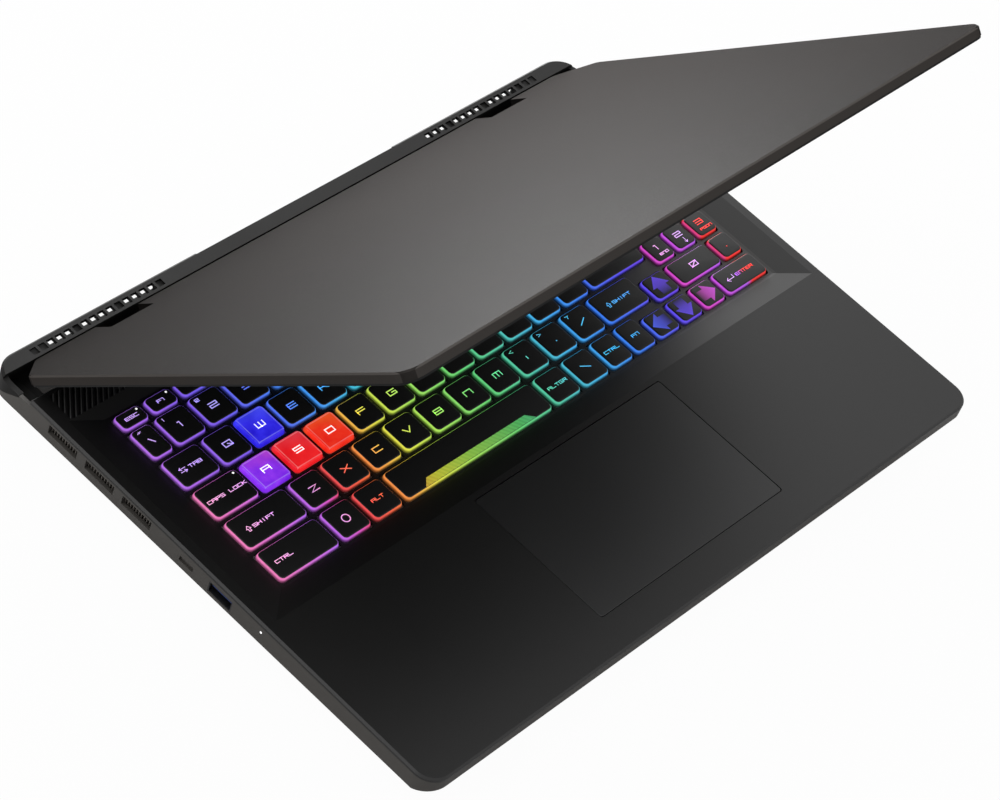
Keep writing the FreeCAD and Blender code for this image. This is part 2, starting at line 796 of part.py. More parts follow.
# A port on the rear edge: a shell open to the rear with a tongue inside.
def rear_port(x, width):
    y1 = half_depth - middle_step
    y0 = y1 - rear_port_depth
    z1 = floor_top + rear_port_height
    shell = box(x - width / 2.0, x + width / 2.0, y0, y1, floor_top, z1)
    t = rear_port_shell
    cavity = box(x - width / 2.0 + t, x + width / 2.0 - t, y0 + 4.0, y1 + 1, floor_top + t, z1 - t)
    middle = floor_top + rear_port_height / 2.0
    tongue = box(x - width / 4.0, x + width / 4.0, y0 + 3.0, y1 - 1.5, middle - rear_port_tongue / 2.0,
                 middle + rear_port_tongue / 2.0)
    return shell.cut(cavity).fuse(tongue).removeSplitter()


# A USB socket in a side wall: a steel shell, open outwards, with its tongue near the top.
def side_usb(side, y):
    outer = side * (half_width - 0.1)
    inner = side * (half_width - usb_depth)
    low = side_port_z - usb_height / 2.0
    t = usb_shell
    y0 = y - usb_width / 2.0
    y1 = y + usb_width / 2.0
    shell = box(min(outer, inner), max(outer, inner), y0, y1, low, low + usb_height)
    deep = side * (half_width - usb_depth + 3.0)
    mouth = side * (half_width + 1.0)
    cavity = box(min(deep, mouth), max(deep, mouth), y0 + t, y1 - t, low + t, low + usb_height - t)
    tip = side * (half_width - 1.2)
    back = side * (half_width - usb_depth + 2.0)
    tongue = box(min(tip, back), max(tip, back), y0 + 1.0, y1 - 1.0,
                 low + usb_height - t - usb_tongue - 0.3,
                 low + usb_height - t - 0.3)
    return shell.cut(cavity).fuse(tongue).removeSplitter()


def network_jack():
    x0 = half_width - network_depth
    x1 = half_width - 0.1
    y0 = network_y - network_width / 2.0
    y1 = network_y + network_width / 2.0
    t = network_shell
    shell = box(x0, x1, y0, y1, network_z, network_z + network_height)
    return shell.cut(box(x0 + 3.0, x1 + 1, y0 + t, y1 - t, network_z + t, network_z + network_height - t))


def audio_jack():
    start = Vector(half_width - jack_depth, jack_y, side_port_z)
    half = jack_body / 2.0
    body = box(start.x, half_width - wall - port_clearance, jack_y - half, jack_y + half, start.z - half,
               start.z + half)
    collar = rod(jack_collar, start, Vector(1, 0, 0), jack_depth - 0.1)
    return joined([body, collar]).cut(rod(jack_bore, start + Vector(1.5, 0, 0), Vector(1, 0, 0),
                                          jack_depth))


# Hinges

def hinge_base(x):
    half = knuckle_length / 2.0
    start = Vector(x - half, hinge_y, hinge_z)
    knuckle = rod(knuckle_radius, start, Vector(1, 0, 0), knuckle_length)
    post = box(x - half, x + half, hinge_y - knuckle_radius + 0.6, hinge_y + knuckle_radius - 0.6,
               floor_top, hinge_z)
    foot = box(x - notch_width / 2.0, x + notch_width / 2.0, trough_front + 0.3,
               hinge_y + knuckle_radius + 2.0,
               floor_top, floor_top + 1.5)
    bore = rod(pin_radius + pin_clearance, start - Vector(1, 0, 0), Vector(1, 0, 0), knuckle_length + 2)
    return joined([knuckle, post, foot]).cut(bore)


def hinge_pin(x):
    half = notch_width / 2.0 - notch_clearance
    return rod(pin_radius, Vector(x - half, hinge_y, hinge_z), Vector(1, 0, 0), 2.0 * half)


# Two arms hold the pin and run forward to a plate under the lid's back cover.
def hinge_arm(x):
    plate_z1 = lid_top - cover_skin - 0.2
    plate_z0 = plate_z1 - arm_thickness
    notch = hinge_y - knuckle_radius - notch_clearance
    plate_front = notch - hinge_plate_length
    half = notch_width / 2.0 - notch_clearance
    profile = [(hinge_y + 2.8, hinge_z + 2.0), (hinge_y - 2.0, plate_z1), (plate_front, plate_z1),
               (plate_front, plate_z0), (notch - 0.2, plate_z0),
               (hinge_y - knuckle_radius + 0.2, hinge_z + 0.7)]
    parts = []
    for x0 in (x - half, x + half - arm_width):
        eye = rod(knuckle_radius, Vector(x0, hinge_y, hinge_z), Vector(1, 0, 0), arm_width)
        parts += [side_prism(profile, x0, x0 + arm_width), eye]
    parts.append(box(x - half, x + half, plate_front, notch - 6.0, plate_z0, plate_z1))
    bracket = joined(parts)
    return bracket.cut(rod(pin_radius, Vector(x - half - 1, hinge_y, hinge_z), Vector(1, 0, 0),
                           2.0 * half + 2))


# Lid

def lid_plan(inset):
    half = lid_half - inset
    front = lid_front + inset
    rear = lid_rear - inset
    cut = lid_rear_cut - inset * math.tan(math.pi / 8.0)
    return [(-half, front, lid_front_radius - inset), (half, front, lid_front_radius - inset),
            (half, rear - cut, lid_rear_cut_radius), (half - cut, rear, lid_rear_cut_radius),
            (-half + cut, rear, lid_rear_cut_radius), (-half, rear - cut, lid_rear_cut_radius)]


def notches(grow):
    front = hinge_y - knuckle_radius - notch_clearance - grow
    half = notch_width / 2.0 + grow
    return [box(x - half, x + half, front, lid_rear + 1, lid_bottom - 1, lid_top + 1)
            for x in (hinge_left_x, hinge_right_x)]


def lid_back_cover():
    shell = prism(lid_plan(0.0), cover_bottom, lid_top)
    shell = shell.makeChamfer(lid_bevel, top_edges(shell, lid_top))
    pocket = prism(lid_plan(cover_wall), cover_bottom - 1, lid_top - cover_skin)
    pocket = pocket.cut(Part.makeCompound(notches(cover_wall)))
    slots = []
    half = notch_width / 2.0 - notch_clearance
    notch = hinge_y - knuckle_radius - notch_clearance
    for x in (hinge_left_x, hinge_right_x):
        for x0 in (x - half, x + half - arm_width):
            slots.append(box(x0 - 0.2, x0 + arm_width + 0.2, notch - cover_wall - 1, notch + 1,
                             cover_bottom - 1,
                             lid_top - cover_skin))
    return shell.cut(pocket).cut(Part.makeCompound(notches(0.0) + slots))


def display_bezel():
    frame = prism(lid_plan(bezel_inset), lid_bottom, cover_bottom)
    window = box(-screen_width / 2.0, screen_width / 2.0, screen_front, screen_rear, lid_bottom - 1,
                 cover_bottom + 1)
    eye = rod(lens_radius + 0.1, Vector(0, lens_y, lid_bottom - 1), Vector(0, 0, 1), bezel_thickness + 2)
    return frame.cut(Part.makeCompound([window, eye] + notches(0.0)))


def lcd_panel():
    border = panel_border
    return box(-screen_width / 2.0 - 1.0, screen_width / 2.0 + 1.0, screen_front - 1.0,
               screen_rear + border,
               cover_bottom, cover_bottom + panel_thickness)


def webcam_module():
    room = (screen_front - 1.0 - lid_front - cover_wall) / 2.0
    board = box(-webcam_half_width, webcam_half_width, lens_y - room + 0.9, lens_y + room - 0.1,
                cover_bottom, cover_bottom + webcam_thickness)
    lens = rod(lens_radius, Vector(0, lens_y, lid_bottom + 0.2), Vector(0, 0, 1), bezel_thickness)
    return joined([board, lens])


# Cooling

def fan_case(x):
    half = fan_width / 2.0
    case = box(x - half, x + half, fan_y - fan_depth / 2.0, fan_y + fan_depth / 2.0, fan_bottom,
               fan_bottom + fan_height)
    low = fan_bottom + fan_wall
    high = fan_bottom + fan_height - fan_wall
    centre = Vector(x, fan_y, low)
    up = Vector(0, 0, 1)
    cavity = rod(fan_radius + fan_bore_gap, centre, up, high - low)
    outlet = box(x - half + 2.0, x + half - 2.0, fan_y + 6.0, fan_y + fan_depth, low, high)
    inlet = rod(inlet_radius, Vector(x, fan_y, fan_bottom - 1), up, fan_height + 2)
    case = case.cut(cavity.fuse(outlet)).cut(inlet)
    spokes = [box(x - spoke_width / 2.0, x + spoke_width / 2.0, fan_y - inlet_radius - 1,
                  fan_y + inlet_radius + 1, fan_bottom, low),
              box(x - inlet_radius - 1, x + inlet_radius + 1, fan_y - spoke_width / 2.0,
                  fan_y + spoke_width / 2.0, fan_bottom, low)]
    shaft = rod(fan_shaft, Vector(x, fan_y, fan_bottom), up, fan_height - fan_wall - 0.6)
    return joined([case] + spokes + [shaft])


def fan_rotor(x):
    up = Vector(0, 0, 1)
    low = fan_bottom + fan_wall + 0.4
    height = fan_height - 2.0 * fan_wall - 1.0
    hub = rod(fan_hub, Vector(x, fan_y, low), up, height)
    blades = []
    for index in range(fan_blades):
        blade = box(fan_hub - 0.6, fan_radius, -blade_thickness / 2.0, blade_thickness / 2.0, low,
                    low + height)
        blade.rotate(Vector(fan_hub, 0, 0), up, blade_lean)
        blade.rotate(Vector(0, 0, 0), up, 360.0 * index / fan_blades)
        blade.translate(Vector(x, fan_y, 0))
        blades.append(blade)
    rotor = joined([hub] + blades).common(rod(fan_radius, Vector(x, fan_y, low), up, height))
    return rotor.cut(rod(fan_shaft + shaft_clearance, Vector(x, fan_y, low - 1), up, height + 2))


# Thin fins standing on a base plate, along X or along Y.
def fin_stack(x0, x1, y0, y1, z0, z1, along_x):
    parts = [box(x0, x1, y0, y1, z0, z0 + fin_base)]
    length = x1 - x0 if along_x else y1 - y0
    count = int((length - fin_thickness) / fin_pitch) + 1
    for index in range(count):
        at = fin_pitch * index
        if along_x:
            parts.append(box(x0 + at, x0 + at + fin_thickness, y0, y1, z0, z1))
        else:
            parts.append(box(x0, x1, y0 + at, y0 + at + fin_thickness, z0, z1))
    return joined(parts)


def rear_fin_stack(side):
    x = side * fan_x
    half = fan_width / 2.0 - 1.0
    return fin_stack(x - half, x + half, rear_fin_rear - rear_fin_depth + 0.2, rear_fin_rear - 0.2,
                     floor_top,
                     floor_top + rear_fin_height, True)


def side_fin_stack(side):
    y0 = vent_first_y - vent_width / 2.0 - 1.0
    y1 = vent_first_y + vent_pitch * (vent_count - 1) + vent_width / 2.0 + 1.0
    outer = side * (half_width - wall - 0.2)
    inner = outer - side * side_fin_depth
    top = deck_under
    return fin_stack(min(outer, inner), max(outer, inner), y0, y1, top - side_fin_height, top, False)


# Two flattened pipes lead from the chips over the board to the rear fins.
def heat_pipe(side, chip_x, y_run):
    end_x = side * (fan_x + fan_width / 2.0 - 4.0)
    y_fin = rear_fin_rear - rear_fin_depth / 2.0
    z = max(pipe_z, floor_top + rear_fin_height + pipe_radius)
    start = Vector(chip_x, y_run, z)
    corner_x = side * (fan_x - fan_width / 2.0 - 2.0)
    bend = min(pipe_bend, (y_fin - y_run) * 0.45)
    a = Vector(corner_x - side * bend, y_run, z)
    b = Vector(corner_x, y_run + bend, z)
    mid1 = Vector(corner_x - side * bend * (1 - math.sin(math.pi / 4)),
                  y_run + bend * (1 - math.cos(math.pi / 4)), z)
    c = Vector(corner_x, y_fin - bend, z)
    d = Vector(corner_x + side * bend, y_fin, z)
    mid2 = Vector(corner_x + side * bend * (1 - math.cos(math.pi / 4)),
                  y_fin - bend * (1 - math.sin(math.pi / 4)), z)
    path = Part.Wire([Part.LineSegment(start, a).toShape(), Part.Arc(a, mid1, b).toShape(),
                      Part.LineSegment(b, c).toShape(), Part.Arc(c, mid2, d).toShape(),
                      Part.LineSegment(d, Vector(end_x, y_fin, z)).toShape()])
    ring = Part.Wire(Part.makeCircle(pipe_radius, start, Vector(1, 0, 0)))
    return path.makePipeShell([ring], True, False)


def heat_pipes():
    return Part.makeCompound([heat_pipe(-1, processor_x + processor_size / 2.0, chip_y),
                              heat_pipe(1, graphics_x - graphics_size / 2.0, chip_y)])


# Electronics

def motherboard():
    middle = box(-board_half_width, board_half_width, board_front, board_rear, board_bottom, board_top)
    wings = box(-board_wing_half_width, board_wing_half_width, board_front, board_wing_rear, board_bottom,
                board_top)
    return joined([middle, wings])


def chip(x, size):
    half = size / 2.0
    package = box(x - half, x + half, chip_y - half, chip_y + half, board_top, chip_top)
    spreader = box(x - half - 3.0, x + half + 3.0, chip_y - half - 3.0, chip_y + half + 3.0, chip_top,
                   spreader_top)
    return joined([package, spreader])


def memory_modules():
    half = memory_width / 2.0
    socket = box(-half, half, memory_y - memory_depth / 2.0 - 6.0, memory_y - memory_depth / 2.0,
                 board_top, board_top + 5.0)
    cards = [box(-half + 1.0, half - 1.0, memory_y - memory_depth / 2.0, memory_y + memory_depth / 2.0,
                 board_top + z,
                 board_top + z + 1.2) for z in (0.8, 3.2)]
    return joined([socket] + cards)


def card(x, length, width):
    y0 = board_front + 4.0
    return box(x - length / 2.0, x + length / 2.0, y0, y0 + width, board_top, board_top + card_thickness)


def battery_pack():
    return box(-battery_half_width, battery_half_width, battery_front, battery_rear, floor_top,
               floor_top + battery_height)


def speakers():
    low = floor_top
    cells = [box(side * speaker_x - speaker_width / 2.0, side * speaker_x + speaker_width / 2.0,
                 speaker_y - speaker_depth / 2.0, speaker_y + speaker_depth / 2.0, low,
                 low + speaker_height)
             for side in (-1, 1)]
    return Part.makeCompound(cells)


# Feet and screws

def foot(x, y, width, depth):
    plan = rectangle(x - width / 2.0, x + width / 2.0, y - depth / 2.0, y + depth / 2.0, 3.0, 3.0)
    return prism(plan, 0.0, foot_height)


def rubber_feet():
    feet = [foot(side * rear_foot_x, rear_foot_y, rear_foot_width, rear_foot_depth) for side in (-1, 1)]
    feet += [foot(side * front_foot_x, front_foot_y, front_foot_width, front_foot_depth)
             for side in (-1, 1)]
    return Part.makeCompound(feet)


def bottom_screws():
    screws = []
    up = Vector(0, 0, 1)
    seat = foot_height + screw_sink + screw_head_height
    for x, y in both_sides(screw_places):
        head = rod(screw_head, Vector(x, y, foot_height + screw_sink), up, screw_head_height)
        slot = box(x - screw_head * 0.6, x + screw_head * 0.6, y - 0.3, y + 0.3, 0,
                   foot_height + screw_sink + 0.7)
        shank = rod(screw_radius, Vector(x, y, seat), up, deck_under + screw_bite - seat)
        screws.append(head.fuse(shank).cut(slot))
    return Part.makeCompound(screws)


def build():
    os.makedirs("parts", exist_ok=True)
    export("bottom_cover", bottom_cover())
    export("palmrest_deck", palmrest_deck())
    export("rear_vent_housing", rear_vent_housing())
    export("keyboard_support_plate", keyboard_support_plate())
    export("rubber_dome_sheet", rubber_dome_sheet())
    for name, spans in key_groups.items():
        caps = [key_cap(span) for span in spans]
        export(name, Part.makeCompound(caps) if len(caps) > 1 else caps[0])
    export("touchpad_plate", touchpad_plate())
    export("touchpad_bracket", touchpad_bracket())
    export("usb_port_left", side_usb(-1, usb_left_y))
    export("usb_port_right", side_usb(1, usb_right_y))
    export("network_jack", network_jack())
    export("audio_jack", audio_jack())
    export("power_inlet", rear_port(power_x, power_width))
    export("video_port", rear_port(video_x, video_width))
    export("usb_c_port", rear_port(type_c_x, type_c_width))
    for side, x in (("left", hinge_left_x), ("right", hinge_right_x)):
        export("hinge_base_" + side, hinge_base(x))
        export("hinge_pin_" + side, raised(hinge_pin(x)))
        export("hinge_arm_" + side, raised(hinge_arm(x)))
    export("lid_back_cover", raised(lid_back_cover()))
    export("display_bezel", raised(display_bezel()))
    export("lcd_panel", raised(lcd_panel()))
    export("webcam_module", raised(webcam_module()))
    for side, x in (("left", -fan_x), ("right", fan_x)):
        export("fan_case_" + side, fan_case(x))
        export("fan_rotor_" + side, fan_rotor(x))
    export("rear_fin_stacks", Part.makeCompound([rear_fin_stack(-1), rear_fin_stack(1)]))
    export("side_fin_stacks", Part.makeCompound([side_fin_stack(-1), side_fin_stack(1)]))
    export("heat_pipes", heat_pipes())
    export("motherboard", motherboard())
    export("processor", chip(processor_x, processor_size))
    export("graphics_chip", chip(graphics_x, graphics_size))
    export("memory_modules", memory_modules())
    export("storage_drive", card(drive_x, drive_length, drive_width))
    export("wireless_card", card(card_x, card_length, drive_width))
    export("battery_pack", battery_pack())
    export("speakers", speakers())
    export("rubber_feet", rubber_feet())
    export("bottom_screws", bottom_screws())


build()
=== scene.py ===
import bpy
import numpy as np
from mathutils import Matrix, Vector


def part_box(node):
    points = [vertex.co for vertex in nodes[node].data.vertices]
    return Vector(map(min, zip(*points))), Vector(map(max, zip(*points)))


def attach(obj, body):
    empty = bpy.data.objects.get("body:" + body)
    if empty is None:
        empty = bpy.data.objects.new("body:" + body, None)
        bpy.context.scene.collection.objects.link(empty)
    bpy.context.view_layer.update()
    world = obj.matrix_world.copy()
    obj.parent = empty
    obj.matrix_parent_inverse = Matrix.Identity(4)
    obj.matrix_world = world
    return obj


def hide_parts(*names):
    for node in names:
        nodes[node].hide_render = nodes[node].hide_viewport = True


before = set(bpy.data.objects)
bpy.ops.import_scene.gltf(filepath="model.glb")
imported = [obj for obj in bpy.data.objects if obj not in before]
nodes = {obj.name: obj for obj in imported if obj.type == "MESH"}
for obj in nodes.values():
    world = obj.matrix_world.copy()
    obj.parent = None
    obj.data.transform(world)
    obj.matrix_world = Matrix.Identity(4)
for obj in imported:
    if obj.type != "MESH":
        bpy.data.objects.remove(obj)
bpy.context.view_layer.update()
mm = 0.001  # in metres
white = (1, 1, 1, 1)
print("frame loaded:", len(nodes), "nodes")


# display colour (0 to 1) to the linear colour that shaders take
def linear(r, g, b):
    c = np.array([r, g, b], float)
    c = np.where(c <= 0.04045, c / 12.92, ((c + 0.055) / 1.055) ** 2.4)
    return (*c.tolist(), 1.0)


# a socket that can be added, multiplied and compared like a number
class Wire:
    def __init__(self, tree, socket):
        self.tree = tree
        self.socket = socket

    # any node: its settings first, then values or links for its sockets
    def node(self, kind, settings=None, sockets=None, out=0):
        made = self.tree.nodes.new(kind)
        for key, value in (settings or {}).items():
            if key == "stops":
                ramp = made.color_ramp
                while len(ramp.elements) < len(value):
                    ramp.elements.new(1.0)
                for element, (place, colour) in zip(ramp.elements, value):
                    element.position = place
                    element.color = colour
            else:
                setattr(made, key, value)
        for key, value in (sockets or {}).items():
            if isinstance(value, Wire):
                self.tree.links.new(value.socket, made.inputs[key])
            else:
                made.inputs[key].default_value = value
        return Wire(self.tree, made.outputs[out])

    # one Math node on two values
    def math(self, operation, first, second=0.0):
        return self.node("ShaderNodeMath", {"operation": operation}, {0: first, 1: second})

    def __add__(self, other):
        return self.math("ADD", self, other)

    def __sub__(self, other):
        return self.math("SUBTRACT", self, other)

    def __rsub__(self, other):
        return self.math("SUBTRACT", other, self)

    def __mul__(self, other):
        return self.math("MULTIPLY", self, other)

    def __truediv__(self, other):
        return self.math("DIVIDE", self, other)

    def __rtruediv__(self, other):
        return self.math("DIVIDE", other, self)

    def __gt__(self, other):
        return self.math("GREATER_THAN", self, other)

    def __lt__(self, other):
        return self.math("LESS_THAN", self, other)

    __radd__ = __add__
    __rmul__ = __mul__

    # the x, y and z of a place, in millimetres
    def axes(self):
        parts = [self.node("ShaderNodeSeparateXYZ", None, {0: self}, name) for name in ("X", "Y", "Z")]
        return [part * (1 / mm) for part in parts]

    # this value through an operation that takes one number: ABSOLUTE, FRACT or SINE
    def through(self, operation):
        return self.math(operation, self)

    def atMost(self, limit):
        return self.math("MINIMUM", self, limit)

    def atLeast(self, limit):
        return self.math("MAXIMUM", self, limit)

    # 1 between the two numbers, 0 outside them
    def within(self, low, high):
        return (self > low) * (self < high)

    # the first colour where this value is 0, the second where it is 1
    def mix(self, first, second):
        return self.node("ShaderNodeMix", {"data_type": "RGBA"}, {0: self, 6: first, 7: second}, 2)

    # a colour times a number
    def scaled(self, amount):
        return self.node("ShaderNodeVectorMath", {"operation": "SCALE"}, {0: self, "Scale": amount})

    # a colour times a colour, or a place stretched along its axes, which draws a noise out into lines
    def times(self, other):
        return self.node("ShaderNodeVectorMath", {"operation": "MULTIPLY"}, {0: self, 1: other})

    # cloudy pattern about 0.5, finer with a greater scale
    def noise(self, scale, detail=2.0, rough=0.5):
        return self.node("ShaderNodeTexNoise", None,
                         {"Vector": self, "Scale": scale, "Detail": detail, "Roughness": rough}, "Fac")

    # the colour between the stops on either side of this value
    def ramp(self, stops):
        return self.node("ShaderNodeValToRGB", {"stops": stops}, {0: self}, "Color")

    # a normal tilted as if this value were the height of the surface
    def bump(self, strength, distance):
        return self.node("ShaderNodeBump", None, {"Strength": strength, "Distance": distance, "Height": self})


# a principled material: fixed numbers on its sockets, and what varies from the function "build"
def finish(name, fixed, build):
    material = bpy.data.materials.new(name)
    material.use_nodes = True
    tree = material.node_tree
    shader = tree.nodes["Principled BSDF"]
    for key, value in fixed.items():
        shader.inputs[key].default_value = value
    place = Wire(tree, tree.nodes.new("ShaderNodeTexCoord").outputs["Object"])
    for key, wire in build(place).items():
        tree.links.new(wire.socket, shader.inputs[key])
    return material


# scales of the fine grain, of the broad clouds and of drawn streaks, and the grain's height in metres
grainScale, cloudScale, streakScale, grainHeight = 2600.0, 22.0, 900.0, 0.0002


# moulded or coated surface: two close tones, a fine grain and a roughness that wanders a little
def coated(name, dark, light, rough, grain=grainScale, depth=0.10, spread=0.10, **fixed):
    def build(place):
        fine = place.noise(grain, 3.0)
        broad = place.noise(cloudScale, 3.0)
        return {"Base Color": (broad * 0.6 + fine * 0.4).mix(linear(*dark), linear(*light)),
                "Roughness": rough - spread / 2 + spread * broad,
                "Normal": fine.bump(depth, grainHeight)}
    return finish(name, fixed, build)


# bare metal drawn out along one axis: streaks in the tone and in the roughness
def drawnMetal(name, dark, light, rough, stretch, **fixed):
    def build(place):
        streak = place.times(stretch).noise(streakScale, 3.0)
        return {"Base Color": streak.mix(linear(*dark), linear(*light)),
                "Roughness": rough - 0.08 + 0.16 * streak,
                "Normal": streak.bump(0.06, grainHeight)}
    return finish(name, {"Metallic": 1.0, **fixed}, build)


# key colours across the keyboard, at millimetres right of the middle, in the front rows and in the rear rows
glow = {
    "span": (-180.0, 180.0), "rearRows": 32.2,
    "front": [(-160, (0.95, 0.48, 0.70)), (-133, (0.82, 0.44, 0.92)), (-124, (0.70, 0.42, 0.95)),
              (-112, (0.86, 0.34, 0.78)), (-104, (0.93, 0.28, 0.32)), (-91, (0.96, 0.40, 0.24)),
              (-77, (0.95, 0.66, 0.28)), (-63, (0.88, 0.90, 0.29)), (-43, (0.66, 0.90, 0.36)),
              (-12, (0.40, 0.84, 0.46)), (14, (0.33, 0.79, 0.66)), (40, (0.27, 0.70, 0.92)),
              (68, (0.24, 0.50, 0.96)), (96, (0.38, 0.32, 0.95)), (112, (0.44, 0.28, 0.93)),
              (114, (0.88, 0.30, 0.80)), (129, (0.82, 0.34, 0.90)), (143, (0.70, 0.38, 0.93)),
              (146, (0.96, 0.22, 0.20))],
    "rear": [(-160, (0.72, 0.42, 0.92)), (-118, (0.46, 0.36, 0.93)), (-97, (0.32, 0.46, 0.97)),
             (-79, (0.26, 0.60, 0.97)), (-56, (0.24, 0.76, 0.86)), (-20, (0.36, 0.84, 0.48)),
             (20, (0.88, 0.86, 0.26)), (60, (0.97, 0.56, 0.22)), (100, (0.95, 0.26, 0.26)),
             (140, (0.86, 0.30, 0.82)), (160, (0.66, 0.36, 0.94))],
}


# one ramp along x for the front rows and one for the rear rows, parted at the depth "rearRows"
def backlight(place):
    x, y = place.axes()[:2]
    low, high = glow["span"]
    along = (x - low) / (high - low)
    front, rear = (along.ramp([((at - low) / (high - low), linear(*tone)) for at, tone in glow[row]])
                   for row in ("front", "rear"))
    return (y > glow["rearRows"]).mix(front, rear)


# lit key wall: foot and height in millimetres, least light and cloudiness, unlit tone, grey from foot to top
skirt = {"foot": 19.0, "tall": 2.4, "least": 0.80, "cloud": 0.34, "plain": (0.20, 0.20, 0.21),
         "rise": [(0.0, 0.05), (0.30, 0.22), (0.55, 0.80), (0.72, 1.0), (0.82, 0.78)]}


# translucent key wall: backlight * cloud * rise, dark at the foot and brightest under the black top
def skirtGlow(place):
    z = place.axes()[2]
    stops = [(at, (grey, grey, grey, 1)) for at, grey in skirt["rise"]]
    rise = ((z - skirt["foot"]) / skirt["tall"]).ramp(stops)
    cloud = skirt["least"] + skirt["cloud"] * place.noise(420.0, 3.0)
    colour = backlight(place)
    plain = (place.noise(900.0) * 0.5).mix(linear(*skirt["plain"]), colour)
    return {"Emission Color": colour.scaled(cloud).times(rise), "Base Color": plain,
            "Roughness": 0.34 + 0.20 * place.noise(300.0)}


# lettering: shares of white at the left end and on the number pad, and of a cool tint right of the middle
tint = {"leftEnd": -105.0, "leftWhite": 0.22, "numpad": (112.0, 141.0), "numpadWhite": 0.30, "cloud": 0.06,
        "cool": (44.0, 112.0), "coolShare": 0.40, "coolTone": (0.20, 0.88, 0.90)}


# backlit lettering: the backlight mixed with the cool tint, and then with white
def legendGlow(place):
    x = place.axes()[0]
    pale = (x < tint["leftEnd"]) * tint["leftWhite"] + x.within(*tint["numpad"]) * tint["numpadWhite"]
    pale = pale + place.noise(60.0) * tint["cloud"]
    cool = x.within(*tint["cool"]) * tint["coolShare"]
    tone = pale.mix(cool.mix(backlight(place), linear(*tint["coolTone"])), white)
    return {"Emission Color": tone, "Base Color": tone, "Roughness": 0.35 + 0.1 * place.noise(400.0)}


arrowLight = {"tail": 0.05, "added": 0.55}  # backlight at the tail of a broad arrow, and more at its point


# broad arrows: backlight * (tail + added * fade), with "fade" as an attribute of the mesh
def arrowGlow(place):
    fade = place.node("ShaderNodeAttribute", {"attribute_name": "fade"}, None, "Fac")
    tone = backlight(place).scaled(arrowLight["tail"] + arrowLight["added"] * fade)
    return {"Emission Color": tone, "Base Color": tone, "Roughness": 0.35 + 0.1 * place.noise(400.0)}


# window in the space bar: slant of its lines, radians per millimetre across them, least light and its swing
hatching = {"slant": 0.6, "waves": 2.6, "least": 0.28, "swing": 0.18}


# fine slanting lines over the backlight: hatch = (1 + sin(waves * (x + slant * y))) / 2
def stripGlow(place):
    x, y = place.axes()[:2]
    hatch = ((x + y * hatching["slant"]) * hatching["waves"]).through("SINE") * 0.5 + 0.5
    colour = backlight(place)
    tone = colour.scaled(hatching["least"] + hatching["swing"] * hatch)
    return {"Emission Color": tone, "Base Color": colour, "Roughness": 0.3 + 0.15 * hatch}


clearEdge = (-1.5, -1.0)  # the pale line of a clear key, in millimetres from its edge


# clear key with light patches: two tones, a third towards the rear, and a paler line just inside the edge
def clearGlow(name, deep, bright, rear):
    low, high = (np.array(v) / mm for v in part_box(name))
    middle, half = (low + high) / 2, (high - low) / 2

    def build(place):
        x, y = place.axes()[:2]
        dx, dy = x - middle[0], y - middle[1]
        edge = (dx.through("ABSOLUTE") - half[0]).atLeast(dy.through("ABSOLUTE") - half[1])
        patch = place.noise(150.0, 3.0, 0.55).ramp([(0.32, linear(*deep)), (0.70, linear(*bright))])
        back = dy / half[1] * 0.45 + dx / half[0] * 0.25 + place.noise(220.0) * 0.5 - 0.25
        patch = back.atLeast(0.0).atMost(1.0).mix(patch, linear(*rear))
        line = edge.within(*clearEdge) * (0.02 + 0.14 * place.noise(260.0))
        tone = line.mix(patch, white)
        return {"Emission Color": tone, "Base Color": tone, "Roughness": 0.24 + 0.2 * place.noise(500.0)}
    return build


lit = {"Emission Strength": 1.0, "Specular IOR Level": 0.3}  # shared by the lit finishes
keySkirt = finish("keySkirt", lit, skirtGlow)
keyLegend = finish("keyLegend", lit, legendGlow)
keyArrow = finish("keyArrow", lit, arrowGlow)
barStrip = finish("barStrip", lit, stripGlow)
# deep, bright and rear tones of the clear keys
clearTones = {
    "key_w": [(0.12, 0.08, 0.72), (0.20, 0.18, 0.88), (0.28, 0.32, 0.90)],
    "key_a": [(0.40, 0.12, 0.80), (0.52, 0.20, 0.86), (0.70, 0.26, 0.66)],
    "key_s": [(0.80, 0.08, 0.11), (0.87, 0.14, 0.15), (0.76, 0.24, 0.30)],
    "key_d": [(0.82, 0.12, 0.08), (0.88, 0.22, 0.13), (0.84, 0.38, 0.16)],
}
clearKeys = {name: finish("clear_" + name, lit, clearGlow(name, *tones))
             for name, tones in clearTones.items()}
whiteLight = finish("whiteLight", {"Emission Strength": 1.0},
                    lambda place: {"Emission Color": place.noise(300.0).mix((0.9, 0.9, 0.9, 1), white)})

# slanting grille slots of the deck: field, pitch, lean and start, the part of a pitch painted light as a
# highlight beside each slot's lit wall, and that highlight's tone
rib = {"front": 88.3, "rear": 103.0, "inner": 92.0, "outer": 172.0, "pitch": 3.0025, "lean": 0.8391,
       "start": -176.07, "highlightBand": (0.24, 0.37), "tone": (0.34, 0.34, 0.34)}
# deck coating, and the keyboard's floor, which is below "floor" and carries a painted sheen that grows paler
# to the right
deck = {"dark": (0.050, 0.049, 0.049), "light": (0.068, 0.066, 0.065),
        "floor": 19.7, "sheenFrom": -20.0, "sheenOver": 150.0, "sheenTone": (0.20, 0.20, 0.20)}
